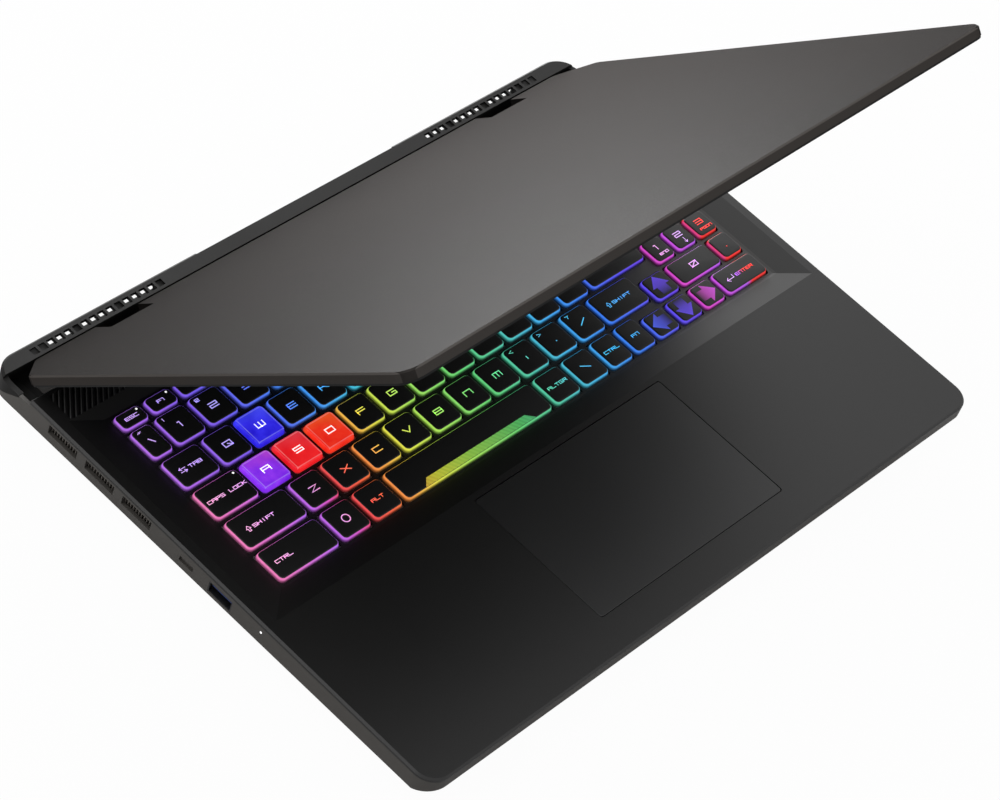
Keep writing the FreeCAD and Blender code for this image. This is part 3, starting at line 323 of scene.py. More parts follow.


# matte coating; slot = (-|x| - lean * (y - middle) - start) / pitch, and its fraction tells where the painted
# highlight beside each slot goes
def deckSurface(place):
    x, y, z = place.axes()
    fine, broad = place.noise(grainScale, 3.0), place.noise(cloudScale, 3.0)
    out = x.through("ABSOLUTE")
    slot = (0.0 - out - (y - (rib["front"] + rib["rear"]) / 2) * rib["lean"] - rib["start"]) / rib["pitch"]
    # painted highlight: a light line on the deck top beside the lit wall of each grille slot
    line = y.within(rib["front"], rib["rear"]) * out.within(rib["inner"], rib["outer"])
    line = line * slot.through("FRACT").within(*rib["highlightBand"])
    coat = (broad * 0.6 + fine * 0.4).mix(linear(*deck["dark"]), linear(*deck["light"]))
    # painted sheen: the keyboard's floor painted paler towards the right
    pale = (z < deck["floor"]) * ((x - deck["sheenFrom"]) / deck["sheenOver"]).atMost(1.0)
    coat = pale.atLeast(0.0).mix(coat, linear(*deck["sheenTone"]))
    return {"Base Color": line.mix(coat, linear(*rib["tone"])), "Roughness": 0.385 + 0.05 * broad,
            "Normal": fine.bump(0.06, grainHeight)}


deckCoat = finish("deckCoat", {"Specular IOR Level": 0.46}, deckSurface)
trayCoat = coated("trayCoat", (0.235, 0.225, 0.212), (0.275, 0.262, 0.250), 0.52)
housingCoat = coated("housingCoat", (0.052, 0.050, 0.048), (0.070, 0.067, 0.064), 0.62,
                     **{"Specular IOR Level": 0.2})
bezelCoat = coated("bezelCoat", (0.050, 0.050, 0.052), (0.066, 0.066, 0.068), 0.60,
                   **{"Specular IOR Level": 0.2})
keyTop = coated("keyTop", (0.044, 0.044, 0.046), (0.058, 0.058, 0.060), 0.50, depth=0.05,
                **{"Specular IOR Level": 0.4})
rubber = coated("rubber", (0.10, 0.10, 0.10), (0.13, 0.13, 0.13), 0.78, grain=1500.0, depth=0.25)
domeRubber = coated("domeRubber", (0.70, 0.70, 0.70), (0.78, 0.78, 0.78), 0.6)
portPlastic = coated("portPlastic", (0.075, 0.075, 0.078), (0.095, 0.095, 0.098), 0.42)
fanPlastic = coated("fanPlastic", (0.12, 0.12, 0.122), (0.15, 0.15, 0.152), 0.40)
boardGreen = coated("boardGreen", (0.10, 0.17, 0.15), (0.14, 0.22, 0.19), 0.40)
batteryWrap = coated("batteryWrap", (0.13, 0.13, 0.132), (0.16, 0.16, 0.162), 0.35)
padGlass = coated("padGlass", (0.110, 0.110, 0.112), (0.125, 0.125, 0.127), 0.40, depth=0.03, spread=0.06)
screenGlass = coated("screenGlass", (0.040, 0.040, 0.048), (0.055, 0.055, 0.062), 0.22,
                     depth=0.02, spread=0.06)
steel = drawnMetal("steel", (0.66, 0.66, 0.67), (0.78, 0.78, 0.79), 0.34, (1.0, 0.05, 1.0))
hingeSteel = coated("hingeSteel", (0.24, 0.232, 0.225), (0.29, 0.28, 0.27), 0.46, Metallic=0.3)
chipMetal = drawnMetal("chipMetal", (0.62, 0.62, 0.63), (0.72, 0.72, 0.73), 0.36, (0.05, 1.0, 1.0))
copper = drawnMetal("copper", (0.70, 0.42, 0.30), (0.82, 0.54, 0.40), 0.34, (1.0, 0.05, 1.0))
finMetal = coated("finMetal", (0.44, 0.42, 0.40), (0.56, 0.54, 0.52), 0.40, Metallic=0.4)


# lid laid out closed: hinge line, opening angle, half width, front edge, height of the outer face, and bevel
shut = {"hingeY": 111.45, "hingeZ": 20.5, "angle": np.radians(44.2),
        "half": 178.8, "front": -129.65, "top": 27.5, "bevel": 0.7}
# lid tones: the grain's dark and light, and the painted highlights of the edge band and of the bevel
lidTones = {"dark": (0.142, 0.134, 0.130), "light": (0.178, 0.169, 0.163),
            "band": (0.235, 0.223, 0.215), "bevel": (0.31, 0.297, 0.288)}


# blasted metal: a fine sparkle in the tone, cloudy roughness, and painted highlights, paler on the edge band
# and most on the bevel;
# a place is first turned back about the hinge line by the opening angle, to the closed lid's depth and height
def lidSurface(place):
    x, y, z = place.axes()
    grit = place.noise(5200.0, 2.0)
    cloud = place.noise(16.0, 3.0)
    cos, sin = float(np.cos(shut["angle"])), float(np.sin(shut["angle"]))
    depth = (y - shut["hingeY"]) * cos - (z - shut["hingeZ"]) * sin + shut["hingeY"]
    height = (z - shut["hingeZ"]) * cos + (y - shut["hingeY"]) * sin + shut["hingeZ"]
    band = (depth < shut["front"] + shut["bevel"]) + (x.through("ABSOLUTE") > shut["half"] - shut["bevel"])
    band = band.atMost(1.0)
    bevel = band * (height > shut["top"] - shut["bevel"])
    tone = (grit * 0.5 + cloud * 0.5).mix(linear(*lidTones["dark"]), linear(*lidTones["light"]))
    # painted highlights: the edge band and, most of all, the bevel painted paler than the face
    tone = bevel.mix(band.mix(tone, linear(*lidTones["band"])), linear(*lidTones["bevel"]))
    return {"Base Color": tone, "Roughness": 0.37 + 0.05 * cloud + 0.04 * grit,
            "Normal": grit.bump(0.07, 0.00012)}


lidMetal = finish("lidMetal", {"Metallic": 0.75, "Specular IOR Level": 0.2,
                               "Specular Tint": (0.30, 0.28, 0.27, 1)}, lidSurface)


# blue tongue of a socket: margin at its sides, and its foot and head below the top of the shell
tongueRoom = {"side": 0.7, "foot": 2.65, "head": 0.55}


# socket shell of plated steel whose inner tongue is blue plastic, told apart by place
def socketFinish(name, low, high):
    middle, half, top = (low[1] + high[1]) / 2 / mm, (high[1] - low[1]) / 2 / mm, high[2] / mm

    def build(place):
        y, z = place.axes()[1:]
        tongue = z.within(top - tongueRoom["foot"], top - tongueRoom["head"])
        tongue = tongue * ((y - middle).through("ABSOLUTE") < half - tongueRoom["side"])
        streak = place.times((1.0, 0.05, 1.0)).noise(streakScale)
        shell = streak.mix(linear(0.26, 0.26, 0.27), linear(0.34, 0.34, 0.35))
        return {"Base Color": tongue.mix(shell, linear(0.03, 0.16, 0.42)), "Metallic": 1.0 - tongue,
                "Roughness": 0.34 + 0.15 * streak}
    return finish(name, {}, build)


# which CAD nodes wear which finish
dress = {
    deckCoat: ["palmrest_deck"], trayCoat: ["bottom_cover"], housingCoat: ["rear_vent_housing"],
    lidMetal: ["lid_back_cover"], bezelCoat: ["display_bezel"], screenGlass: ["lcd_panel"],
    steel: ["touchpad_bracket", "keyboard_support_plate", "bottom_screws",
            "hinge_pin_left", "hinge_pin_right"],
    domeRubber: ["rubber_dome_sheet"], rubber: ["rubber_feet"],
    hingeSteel: ["hinge_base_left", "hinge_base_right", "hinge_arm_left", "hinge_arm_right"],
    portPlastic: ["network_jack", "audio_jack", "power_inlet", "webcam_module"],
    fanPlastic: ["fan_case_left", "fan_case_right", "fan_rotor_left", "fan_rotor_right", "speakers"],
    copper: ["heat_pipes"], finMetal: ["rear_fin_stacks", "side_fin_stacks"],
    boardGreen: ["motherboard", "memory_modules", "storage_drive", "wireless_card"],
    chipMetal: ["processor", "graphics_chip", "video_port", "usb_c_port"], batteryWrap: ["battery_pack"],
}
for side in ("left", "right"):
    port = "usb_port_" + side
    dress[socketFinish("socket" + side.title(), *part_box(port))] = [port]
for material, names in dress.items():
    for name in names:
        nodes[name].data.materials.clear()
        nodes[name].data.materials.append(material)
print("finishes on the casing:", len(dress))


# puts vertices (millimetres) and faces into a mesh that rides on a body
def piece(name, verts, faces, body, materials, kinds=None, smooth=False):
    mesh = bpy.data.meshes.new(name)
    mesh.from_pydata((np.asarray(verts).reshape(-1, 3) * mm).tolist(), [], faces)
    for material in materials:
        mesh.materials.append(material)
    if kinds is not None:
        mesh.polygons.foreach_set("material_index", np.asarray(kinds, dtype=np.int32))
    if smooth:
        mesh.polygons.foreach_set("use_smooth", np.ones(len(faces), dtype=bool))
    mesh.update()
    thing = bpy.data.objects.new(name, mesh)
    bpy.context.scene.collection.objects.link(thing)
    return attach(thing, body)


leastCorner = 0.3  # tightest corner of a rounded box


# rounded boxes: ring point = corner centre + radius * (cos, sin), each ring inset and raised by the profile;
# corners tighten by half the inset; a face's level counts up the wall, with "rings" on top and -1 below
def roundedStacks(boxes, base, corner, profile, steps):
    boxes = np.asarray(boxes, float)
    inset, height = np.array(profile, float).T
    angle = (np.pi / 2 * (np.arange(4)[:, None] + np.linspace(0, 1, steps + 1))).ravel()
    side = np.repeat([[1, 1], [-1, 1], [-1, -1], [1, -1]], steps + 1, axis=0)
    middle = np.stack([boxes[:, 0] + boxes[:, 1], boxes[:, 2] + boxes[:, 3]], -1) / 2
    half = np.stack([boxes[:, 1] - boxes[:, 0], boxes[:, 3] - boxes[:, 2]], -1) / 2
    radius = np.maximum(corner - 0.5 * inset, leastCorner)
    reach = half[:, None, None, :] - inset[:, None, None] - radius[:, None, None]
    turn = np.stack([np.cos(angle), np.sin(angle)], -1)
    plan = middle[:, None, None, :] + side * reach + radius[:, None, None] * turn
    z = np.broadcast_to(base + height[:, None], plan.shape[:3])
    verts = np.concatenate([plan, z[..., None]], -1)
    stacks, rings, points = plan.shape[:3]
    index = np.arange(stacks * rings * points).reshape(stacks, rings, points)
    after = np.roll(index, -1, axis=2)
    walls = np.stack([index[:, :-1], after[:, :-1], after[:, 1:], index[:, 1:]], -1)
    level = np.broadcast_to(np.arange(rings - 1)[:, None], walls.shape[1:3])
    faces = walls.reshape(-1, 4).tolist() + index[:, -1].tolist() + index[:, 0, ::-1].tolist()
    levels = np.concatenate([np.broadcast_to(level, walls.shape[:3]).ravel(),
                             np.full(stacks, rings), np.full(stacks, -1)])
    return verts, faces, levels


# spans along one axis that touch or overlap belong together: labels them from the lowest up
def runs(low, high, gap):
    order = np.argsort(low)
    reach = np.maximum.accumulate(high[order])
    label = np.concatenate([[0], np.cumsum(low[order][1:] > reach[:-1] + gap)])
    back = np.empty(len(low), int)
    back[order] = label
    return back


keyGap = 0.5  # at least this far apart, two keys are told apart
flatWithin = 0.01  # triangles this close to the lowest point lie on the underside


# the keys of a CAD node as (x0, x1, y0, y1) in millimetres, front row first and left to right, each found as
# a run of triangles on the keys' undersides
def keyBoxes(name):
    mesh = nodes[name].data
    co = np.empty(len(mesh.vertices) * 3, np.float32)
    mesh.vertices.foreach_get("co", co)
    corners = np.empty(len(mesh.polygons) * 3, np.int32)
    mesh.polygons.foreach_get("vertices", corners)
    tri = co.reshape(-1, 3)[corners.reshape(-1, 3)] / mm
    tri = tri[tri[:, :, 2].max(1) < tri[:, :, 2].min() + flatWithin]
    low, high = tri.min(1), tri.max(1)
    rows = runs(low[:, 1], high[:, 1], keyGap)
    boxes = []
    for row in range(rows.max() + 1):
        lowRow, highRow = low[rows == row], high[rows == row]
        keys = runs(lowRow[:, 0], highRow[:, 0], keyGap)
        for key in range(keys.max() + 1):
            a, b = lowRow[keys == key], highRow[keys == key]
            boxes.append((a[:, 0].min(), b[:, 0].max(), a[:, 1].min(), b[:, 1].max()))
    return boxes


# rounded caps with a lit wall, in place of the CAD keys' blocks
cap = {
    "corner": 2.3, "steps": 6,
    "profile": [(0.0, 0.0), (0.04, 0.25), (0.36, 1.48), (0.46, 1.92), (0.64, 2.08), (0.74, 2.25),
                (0.95, 2.36), (1.30, 2.40)],  # inset and height of each ring
    "black": 4,  # first level of the black top
}
keyNodes = ["function_row_keys", "power_button", "number_row_keys", "upper_letter_row_keys", "home_row_keys",
            "lower_letter_row_keys", "bottom_row_keys", "space_bar", "arrow_left_key", "arrow_down_key",
            "arrow_right_key", "arrow_up_key", "numpad_keys", "key_w", "key_a", "key_s", "key_d"]
boxesOf = {name: keyBoxes(name) for name in keyNodes}
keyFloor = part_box("space_bar")[0].z / mm
keyPlane = keyFloor + cap["profile"][-1][1]
for name in keyNodes:
    verts, faces, levels = roundedStacks(boxesOf[name], keyFloor, cap["corner"], cap["profile"], cap["steps"])
    clear = clearKeys.get(name)
    coats = [clear or keySkirt, clear or keyTop]
    kinds = (levels >= cap["black"]).astype(int)
    made = piece(name + ".caps", verts, faces, name + "_body", coats, kinds, True)
    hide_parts(name)
print("keys:", sum(len(b) for b in boxesOf.values()))

# strokes of a square lettering on a 3 by 3 dial: 7 8 9 above, 4 5 6, 1 2 3 below
strokes = {
    "A": ["1793", "46"], "B": ["179631", "46"], "C": ["9713"], "D": ["17931"], "E": ["9713", "46"],
    "F": ["971", "46"], "G": ["971365"], "H": ["17", "39", "46"], "I": ["28"], "J": ["9314"],
    "K": ["17", "49", "43"], "L": ["713"], "M": ["1793", "82"], "N": ["1793"], "O": ["17931"],
    "P": ["17964"], "Q": ["17931", "53"], "R": ["17964", "53"], "S": ["974631"], "T": ["79", "82"],
    "U": ["7139"], "V": ["729"], "W": ["7139", "82"], "X": ["73", "91"], "Y": ["75", "95", "52"],
    "Z": ["7913"], "0": ["17931", "19"], "1": ["782"], "2": ["796413"], "3": ["7931", "46"],
    "4": ["746", "93"], "5": ["974631"], "6": ["971364"], "7": ["793"], "8": ["17931", "46"],
    "9": ["647931"], "-": ["46"], "=": ["79", "13"], "[": ["8712"], "]": ["8932"], "\\": ["73"],
    "/": ["19"], ";": ["88", "52"], "'": ["85"], ",": ["52"], ".": ["22"], "*": ["46", "73", "91"],
    "+": ["46", "82"], "`": ["73"], "!": ["82"], "?": ["7952"], "<": ["943"], ">": ["761"],
    "~": ["4859"], "@": ["31796542"], "#": ["71", "93", "46"], " ": [],
}
# heights and places in millimetres; widths and spaces of letters as shares of the height
legend = {"tall": 2.5, "wide": 1.66, "narrow": 0.70, "thinLetters": "1I!'`.,;", "space": 0.42,
          "small": 1.38, "smallWide": 1.36, "smallNarrow": 0.6, "margin": 3.6, "cornerInset": 2.9,
          "rise": 1.0, "belowRight": 0.9, "belowDrop": 3.2, "belowSize": 0.8,
          "stroke": 0.45, "thin": 0.30, "lift": 0.05, "thick": 0.07, "dot": 0.1, "leastMitre": 0.55,
          "ring": 1.9, "power": 1.6, "powerArc": (125.0, 290.0), "powerBar": (0.3, 2.0)}


# places of the dial's digits in a cell one high and "wide" across
def dial(path, wide):
    digit = np.array([int(c) - 1 for c in path])
    return np.stack([(digit % 3) * wide / 2, (digit // 3) / 2], -1)


# length of a text of this height
def textLength(text, height, wide):
    return height * (len(text) * (wide + legend["space"]) - legend["space"])


# polylines of a text that starts at x, with its middle at height y
def lettering(text, x, y, height, wide):
    step = wide + legend["space"]
    return [dial(path, wide) * height + (x + place * step * height, y - height / 2)
            for place, letter in enumerate(text) for path in strokes[letter]]


# a flat bar carried along a polyline: its two sides lie half a width off each point, along the mitred normal
def ribbon(points, width, z):
    points = np.asarray(points, float)
    closed = len(points) > 3 and np.allclose(points[0], points[-1])
    if closed:
        points = points[:-1]
    if len(points) == 2 and np.allclose(points[0], points[1]):
        points = points + np.array([[-1, 0], [1, 0]]) * width * legend["dot"]
    ahead = np.roll(points, -1, axis=0) - points
    if not closed:
        ahead[-1] = ahead[-2]
    ahead /= np.linalg.norm(ahead, axis=1, keepdims=True)
    behind = np.roll(ahead, 1, axis=0)
    if not closed:
        behind[0] = ahead[0]
        points = points.copy()
        points[0] -= ahead[0] * width / 2
        points[-1] += ahead[-1] * width / 2
    normal = np.stack([-(ahead + behind)[:, 1], (ahead + behind)[:, 0]], -1)
    normal /= np.maximum(np.linalg.norm(normal, axis=1, keepdims=True), 1e-6)
    straight = np.stack([-ahead[:, 1], ahead[:, 0]], -1)
    normal /= np.clip((normal * straight).sum(1, keepdims=True), legend["leastMitre"], 1.0)
    left, right = points + normal * width / 2, points - normal * width / 2
    top, low = z + legend["thick"], z
    ring = np.stack([np.c_[left, np.full(len(left), top)], np.c_[left, np.full(len(left), low)],
                     np.c_[right, np.full(len(left), low)], np.c_[right, np.full(len(left), top)]], 1)
    index = np.arange(len(points) * 4).reshape(-1, 4)
    first = index if closed else index[:-1]
    second = np.roll(index, -1, axis=0) if closed else index[1:]
    walls = np.stack([first, np.roll(first, -1, 1), np.roll(second, -1, 1), second], -1).reshape(-1, 4)
    faces = walls.tolist()
    if not closed:
        faces += [index[0][::-1].tolist(), index[-1].tolist()]
    return ring.reshape(-1, 3), faces


# a thin plate: the polygon at z and again at z + thick, joined by a wall
def plate(points, z, thick):
    points = np.asarray(points, float)
    count = len(points)
    verts = np.concatenate([np.c_[points, np.full(count, z)], np.c_[points, np.full(count, z + thick)]])
    low = np.arange(count)
    after = np.roll(low, -1)
    walls = np.stack([low, after, after + count, low + count], -1).tolist()
    return verts, walls + [(low + count).tolist(), low[::-1].tolist()]


# many small shapes in one mesh
def gathered(shapes):
    verts, faces, start = [], [], 0
    for shapeVerts, shapeFaces in shapes:
        verts.append(shapeVerts)
        faces += [[v + start for v in face] for face in shapeFaces]
        start += len(shapeVerts)
    return np.concatenate(verts), faces


# an arc: middle + radius * (cos, sin), with the angles in degrees
def ringPath(x, y, radius, start=0.0, turn=360.0, points=24):
    angle = np.radians(np.linspace(start, start + turn, points + 1))
    return np.stack([x + radius * np.cos(angle), y + radius * np.sin(angle)], -1)


# what each key says, front row first and left to right; a second word is small and sits at the upper left,
# or below if it starts with _; inside a word _ is a space; after @ is the distance from the key's left edge
caption = {
    "function_row_keys": ["ESC"] + ["F%d" % n for n in range(1, 13)] + ["PRT", "INS", "DEL", "PGU", "PGD"],
    "number_row_keys": ["` ~", "1 !", "2 @", "3 #", "4", "5", "6", "7", "8", "9", "0", "-", "= +", "BACK"],
    "upper_letter_row_keys": ["TAB@4.2", "Q", "E", "R", "T", "Y", "U", "I", "O", "P", "[", "]", "\\"],
    "home_row_keys": ["CAPS_LOCK@2.2", "F", "G", "H", "J", "K", "L", "; .", "' -", "ENTER"],
    "lower_letter_row_keys": ["SHIFT@6.0", "Z", "X", "C", "V", "B", "N", "M", ", <", ". >", "/ ?", "SHIFT"],
    "bottom_row_keys": ["CTRL@4.3", "ring", "ALT", "ALTGR", "\\", "CTRL", "FN"],
    "numpad_keys": ["ENTER", "0", ".", "1 _END", "2 _DOWN", "3 _PGDN", "4 _LEFT", "5", "6 _RIGHT", "7 _HOME",
                    "8 _UP", "9 _PGUP", "/", "*", "-"],
    "key_w": ["W"], "key_a": ["A"], "key_s": ["S"], "key_d": ["D"], "power_button": ["power"],
}
# small signs before a word: polylines from their left end, and the room they take
signs = {
    "SHIFT": ([[(0.7, -1.3), (0.7, 0.0), (0.0, 0.0), (1.2, 1.4), (2.4, 0.0), (1.7, 0.0), (1.7, -1.3),
                (0.7, -1.3)]], 3.8),
    "TAB": ([[(0.0, 0.8), (3.2, 0.8)], [(0.9, 1.5), (0.0, 0.8), (0.9, 0.1)], [(0.0, -0.8), (3.2, -0.8)],
             [(2.3, -0.1), (3.2, -0.8), (2.3, -1.5)]], 5.0),
    "ENTER": ([[(4.6, 1.3), (4.6, -0.5), (0.0, -0.5)], [(1.3, 0.6), (0.0, -0.5), (1.3, -1.6)]], 6.4),
}
# a thin arrow that points down, and the ways to turn it
pointer = np.array([[(0.0, 1.5), (0.0, -1.5)], [(-0.8, -0.7), (0.0, -1.5)], [(0.8, -0.7), (0.0, -1.5)]])
turns = {"DOWN": np.eye(2), "UP": -np.eye(2),
         "LEFT": np.array([[0, 1], [1, 0]]), "RIGHT": np.array([[0, -1], [-1, 0]])}


# polylines and line widths on one key: a sign, a long word squeezed to fit, or a letter and its second word
def keyPaths(words, box):
    x0, x1, y0, y1 = box
    x, y = (x0 + x1) / 2, (y0 + y1) / 2
    thin, bold = legend["thin"], legend["stroke"]
    if words == "ring":
        return [(ringPath(x, y, legend["ring"]), bold)]
    if words == "power":
        bar = np.array([[x, y + end] for end in legend["powerBar"]])
        return [(ringPath(x, y, legend["power"], *legend["powerArc"]), thin), (bar, thin)]
    small, smallWide = legend["small"], legend["smallWide"]
    main, *second = words.split(" ")
    if len(main) > 1:
        text, _, start = main.partition("@")
        sign, room = signs.get(text, ([], 0.0))
        text = text.replace("_", " ")
        length = textLength(text, small, smallWide) + room
        squeeze = min(1.0, (x1 - x0 - legend["margin"]) / length)
        left = x0 + float(start) if start else x - length * squeeze / 2
        paths = [np.array(p) * squeeze + (left, y) for p in sign]
        paths += lettering(text, left + room * squeeze, y, small * squeeze, smallWide)
        return [(p, thin) for p in paths]
    wide = legend["narrow" if main in legend["thinLetters"] else "wide"]
    rise = legend["rise"] if second and second[0][0] == "_" else 0.0
    tall = legend["tall"]
    paths = [(p, bold) for p in lettering(main, x - tall * wide / 2, y + rise, tall, wide)]
    for word in second:
        below, belowX, belowY = word[1:], x + legend["belowRight"], y - legend["belowDrop"]
        if rise and below in turns:
            more = [p @ turns[below] + (belowX, belowY) for p in pointer]
        elif rise:
            height = small * legend["belowSize"]
            start = belowX - textLength(below, height, smallWide) / 2
            more = lettering(below, start, belowY, height, smallWide)
        else:
            width = legend["smallNarrow"] if word in legend["thinLetters"] else smallWide
            more = lettering(word, x0 + legend["cornerInset"], y1 - legend["cornerInset"], small, width)
        paths += [(p, thin) for p in more]
    return paths


for name, words in caption.items():
    bars = [ribbon(path, width, keyPlane + legend["lift"])
            for text, box in zip(words, boxesOf[name]) for path, width in keyPaths(text, box)]
    ink = whiteLight if name in clearKeys else keyLegend
    piece(name + ".legend", *gathered(bars), name + "_body", [ink])

flat = {"lift": 0.01, "thick": 0.05}  # arrows and small lights on the caps

# arrow keys: a broad arrow filling the cap; the point is the first corner, and "fade" falls towards the tail
arrow = {"outline": [(-5.6, 0.0), (0.6, 5.4), (0.6, 2.9), (5.0, 2.9), (5.0, -2.9), (0.6, -2.9), (0.6, -5.4)],
         "fade": [1.0, 0.75, 0.6, 0.0, 0.0, 0.6, 0.75],
         "turn": {"arrow_left_key": (1, 0), "arrow_down_key": (0, 1),
                  "arrow_right_key": (-1, 0), "arrow_up_key": (0, -1)}}  # cosine and sine
for name, (cos, sin) in arrow["turn"].items():
    x0, x1, y0, y1 = boxesOf[name][0]
    points = np.array(arrow["outline"]) @ np.array([[cos, sin], [-sin, cos]]) + ((x0 + x1) / 2, (y0 + y1) / 2)
    shape = plate(points, keyPlane + flat["lift"], flat["thick"])
    made = piece(name + ".arrow", *shape, name + "_body", [keyArrow])
    made.data.attributes.new("fade", "FLOAT", "POINT").data.foreach_set("value", arrow["fade"] * 2)

# hatched window along the front of the space bar
strip = {"left": -72.0, "right": -3.0, "depth": 3.6, "cut": 3.6, "front": 0.75, "sunk": 0.2, "thick": 0.26}
stripFront = boxesOf["space_bar"][0][2] + strip["front"]
stripRear = stripFront + strip["depth"]
points = [(strip["left"], stripFront), (strip["right"], stripFront),
          (strip["right"] - strip["cut"], stripRear), (strip["left"] + strip["cut"], stripRear)]
window = plate(points, keyPlane - strip["sunk"], strip["thick"])
piece("space_bar.strip", *window, "space_bar_body", [barStrip])

# small lights at the rear right corner of some keys
spot = {"keys": [("function_row_keys", 0), ("function_row_keys", 1), ("home_row_keys", 0)],
        "fromRight": 2.6, "fromRear": 2.2, "radius": 0.5}
for name, place in spot["keys"]:
    x0, x1, y0, y1 = boxesOf[name][place]
    circle = ringPath(x1 - spot["fromRight"], y1 - spot["fromRear"], spot["radius"])[:-1]
    dot = plate(circle, keyPlane + flat["lift"], flat["thick"])
    piece("%s.light%d" % (name, place), *dot, name + "_body", [whiteLight])
print("legends on", len(caption), "groups")

# touchpad glass with a softened edge
pad = {"corner": 1.5, "profile": [(0.0, 0.0), (0.0, 1.02), (0.10, 1.22), (0.26, 1.30)], "steps": 6}
low, high = (np.array(v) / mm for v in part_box("touchpad_plate"))
padBox = (low[0], high[0], low[1], high[1])
verts, faces = roundedStacks([padBox], low[2], pad["corner"], pad["profile"], pad["steps"])[:2]
made = piece("touchpad.glass", verts, faces, "touchpad_body", [padGlass])
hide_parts("touchpad_plate")
print("touchpad done")

# rubber pads under the lid and the camera's lens glass, laid out for a closed lid and then swung up with it
rim = {"under": 22.3, "drop": 0.45, "sunk": 0.05, "soft": (0.35, 0.25), "corner": 1.0, "steps": 5,
       "pads": [(-158, -142, -128.2, -125.8), (142, 158, -128.2, -125.8),
                (-66, -54, 100.5, 103.5), (54, 66, 100.5, 103.5)],
       "lens": 1.2, "lensY": -124.25, "lensSet": 0.3, "lensThick": 0.25}


# turns points about the hinge line by the lid's opening angle: y' = y cos + z sin, z' = z cos - y sin
def swung(verts):
    cos, sin = np.cos(shut["angle"]), np.sin(shut["angle"])
    x, y, z = np.moveaxis(np.asarray(verts).reshape(-1, 3) - (0, shut["hingeY"], shut["hingeZ"]), 1, 0)
    return np.stack([x, y * cos + z * sin + shut["hingeY"], z * cos - y * sin + shut["hingeZ"]], -1)


profile = [(rim["soft"][0], 0.0), (0.0, rim["soft"][1]), (0.0, rim["drop"] + rim["sunk"])]
padFoot = rim["under"] - rim["drop"]
verts, faces = roundedStacks(rim["pads"], padFoot, rim["corner"], profile, rim["steps"])[:2]
piece("lid_bumpers", swung(verts), faces, "lid", [rubber])
circle = ringPath(0, rim["lensY"], rim["lens"])[:-1]
verts, faces = plate(circle, rim["under"] + rim["lensSet"], rim["lensThick"])
piece("camera_lens", swung(verts), faces, "lid", [screenGlass])
print("lid rim done")

# light on the left wall, seen as a small lens
led = {"y": -34.5, "z": 16.75, "radius": 0.55, "sunk": 0.3, "thick": 0.34}
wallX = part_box("bottom_cover")[0].x / mm
lens, faces = plate(ringPath(0, 0, led["radius"])[:-1], -led["sunk"], led["thick"])
lens = np.stack([wallX - lens[:, 2], led["y"] - lens[:, 0], led["z"] + lens[:, 1]], -1)
piece("side_light", lens, faces, "base", [whiteLight])
print("side light done")

# backdrop: floor size in metres, floor tone, white share of the floor as seen, and the world's lamplight
backdrop = {"floor": 6.0, "floorTone": (0.82, 0.82, 0.82, 1), "whiteShare": 0.97, "worldLamp": 0.4}


# 1 for the rays named, 0 for the others
def raysOf(tree, names):
    path = tree.nodes.new("ShaderNodeLightPath")
    first, *rest = [Wire(tree, path.outputs[name]) for name in names]
    return sum(rest, first).atMost(1.0)


bpy.ops.mesh.primitive_plane_add(size=backdrop["floor"])
floor = bpy.context.object
floor.name = "floor"
floorPaint = bpy.data.materials.new("floorPaint")
floorPaint.use_nodes = True
tree = floorPaint.node_tree
tree.nodes.clear()
seen = raysOf(tree, ["Is Camera Ray", "Is Transmission Ray"])
plain = seen.node("ShaderNodeBsdfDiffuse", None, {"Color": backdrop["floorTone"]})
bright = seen.node("ShaderNodeEmission", None, {"Color": white, "Strength": 1.0})
both = seen.node("ShaderNodeMixShader", None, {0: seen * backdrop["whiteShare"], 1: plain, 2: bright})
tree.links.new(both.socket, tree.nodes.new("ShaderNodeOutputMaterial").inputs["Surface"])
floor.data.materials.append(floorPaint)

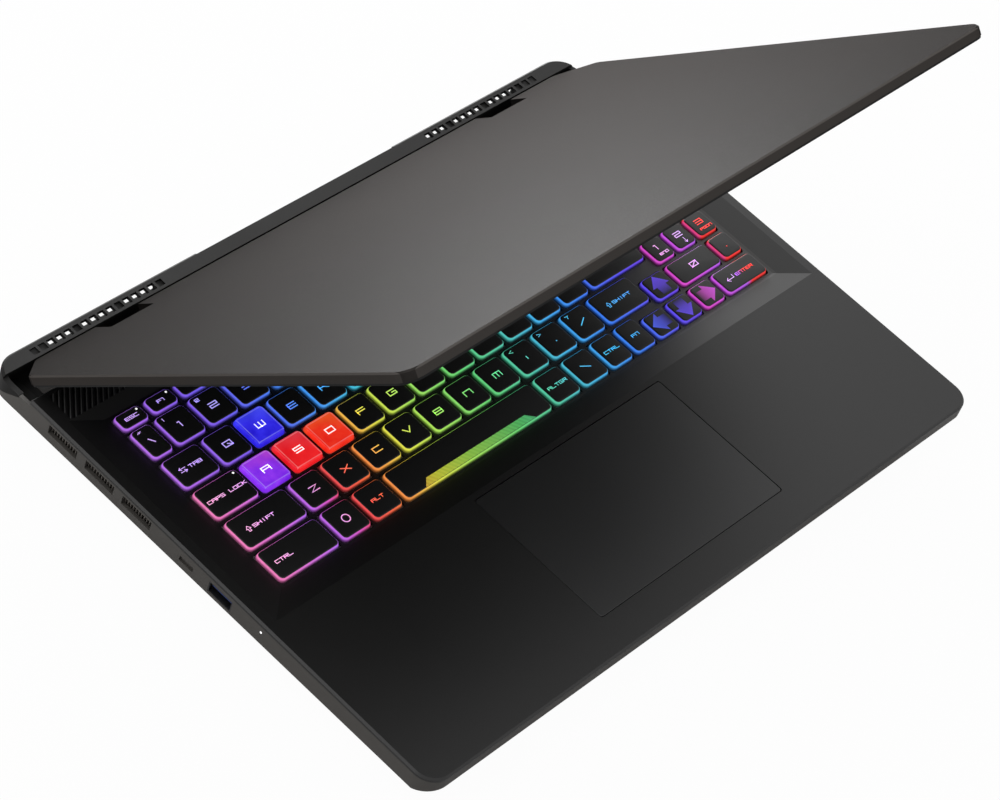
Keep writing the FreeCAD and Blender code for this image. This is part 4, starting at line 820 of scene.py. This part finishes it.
# white world: full strength where it is seen, weaker as a lamp
world = bpy.data.worlds.new("studio")
bpy.context.scene.world = world
world.use_nodes = True
tree = world.node_tree
seen = raysOf(tree, ["Is Camera Ray", "Is Glossy Ray", "Is Transmission Ray"])
background = tree.nodes["Background"]
background.inputs["Color"].default_value = white
strength = seen * (1.0 - backdrop["worldLamp"]) + backdrop["worldLamp"]
tree.links.new(strength.socket, background.inputs["Strength"])


# a matrix with these axes as its columns, at this place
def stand(across, up, back, place):
    turn = np.eye(4)
    turn[:3, :3] = np.stack([across, up, back], -1)
    turn[:3, 3] = place
    return Matrix(turn.tolist())


# a soft square lamp that points at the middle of the base's foot: back = place / |place|, across = z x back
def lamp(name, place, size, power):
    light = bpy.data.lights.new(name, "AREA")
    light.size = size
    light.energy = power
    thing = bpy.data.objects.new(name, light)
    bpy.context.scene.collection.objects.link(thing)
    back = np.array(place, float) / np.linalg.norm(place)
    across = np.cross([0, 0, 1], back)
    across /= np.linalg.norm(across)
    thing.matrix_world = stand(across, np.cross(back, across), back, place)


# place in metres, size and watts of each lamp
lamps = {"keyLamp": ((-0.8, 0.5, 1.6), 1.2, 9.0), "rimLamp": ((1.4, 1.2, 1.0), 1.0, 6.0),
         "lidLamp": ((0.66, 1.05, 0.17), 0.3, 19.0), "sideLamp": ((-1.3, 0.6, 0.35), 0.6, 2.5)}
for name, settings in lamps.items():
    lamp(name, *settings)

# camera: place, axes across, down and into the picture, and focal length and width of the picture in pixels
shot = {"place": (-0.918319, -0.484436, 1.070011), "across": (0.664778, -0.701717, 0.256248),
        "down": (-0.417901, -0.633644, -0.651040), "into": (0.619217, 0.325711, -0.714481),
        "focal": 3434.14, "width": 1000.0, "sensor": 36.0, "far": 50.0}
camera = bpy.data.cameras.new("camera")
camera.sensor_width = shot["sensor"]
camera.lens = shot["focal"] / shot["width"] * shot["sensor"]
camera.clip_end = shot["far"]
view = bpy.data.objects.new("camera", camera)
bpy.context.scene.collection.objects.link(view)
view.matrix_world = stand(shot["across"], -np.array(shot["down"]), -np.array(shot["into"]), shot["place"])
bpy.context.scene.camera = view
bpy.context.scene.view_settings.view_transform = "Standard"
print("stage, lamps and camera set")
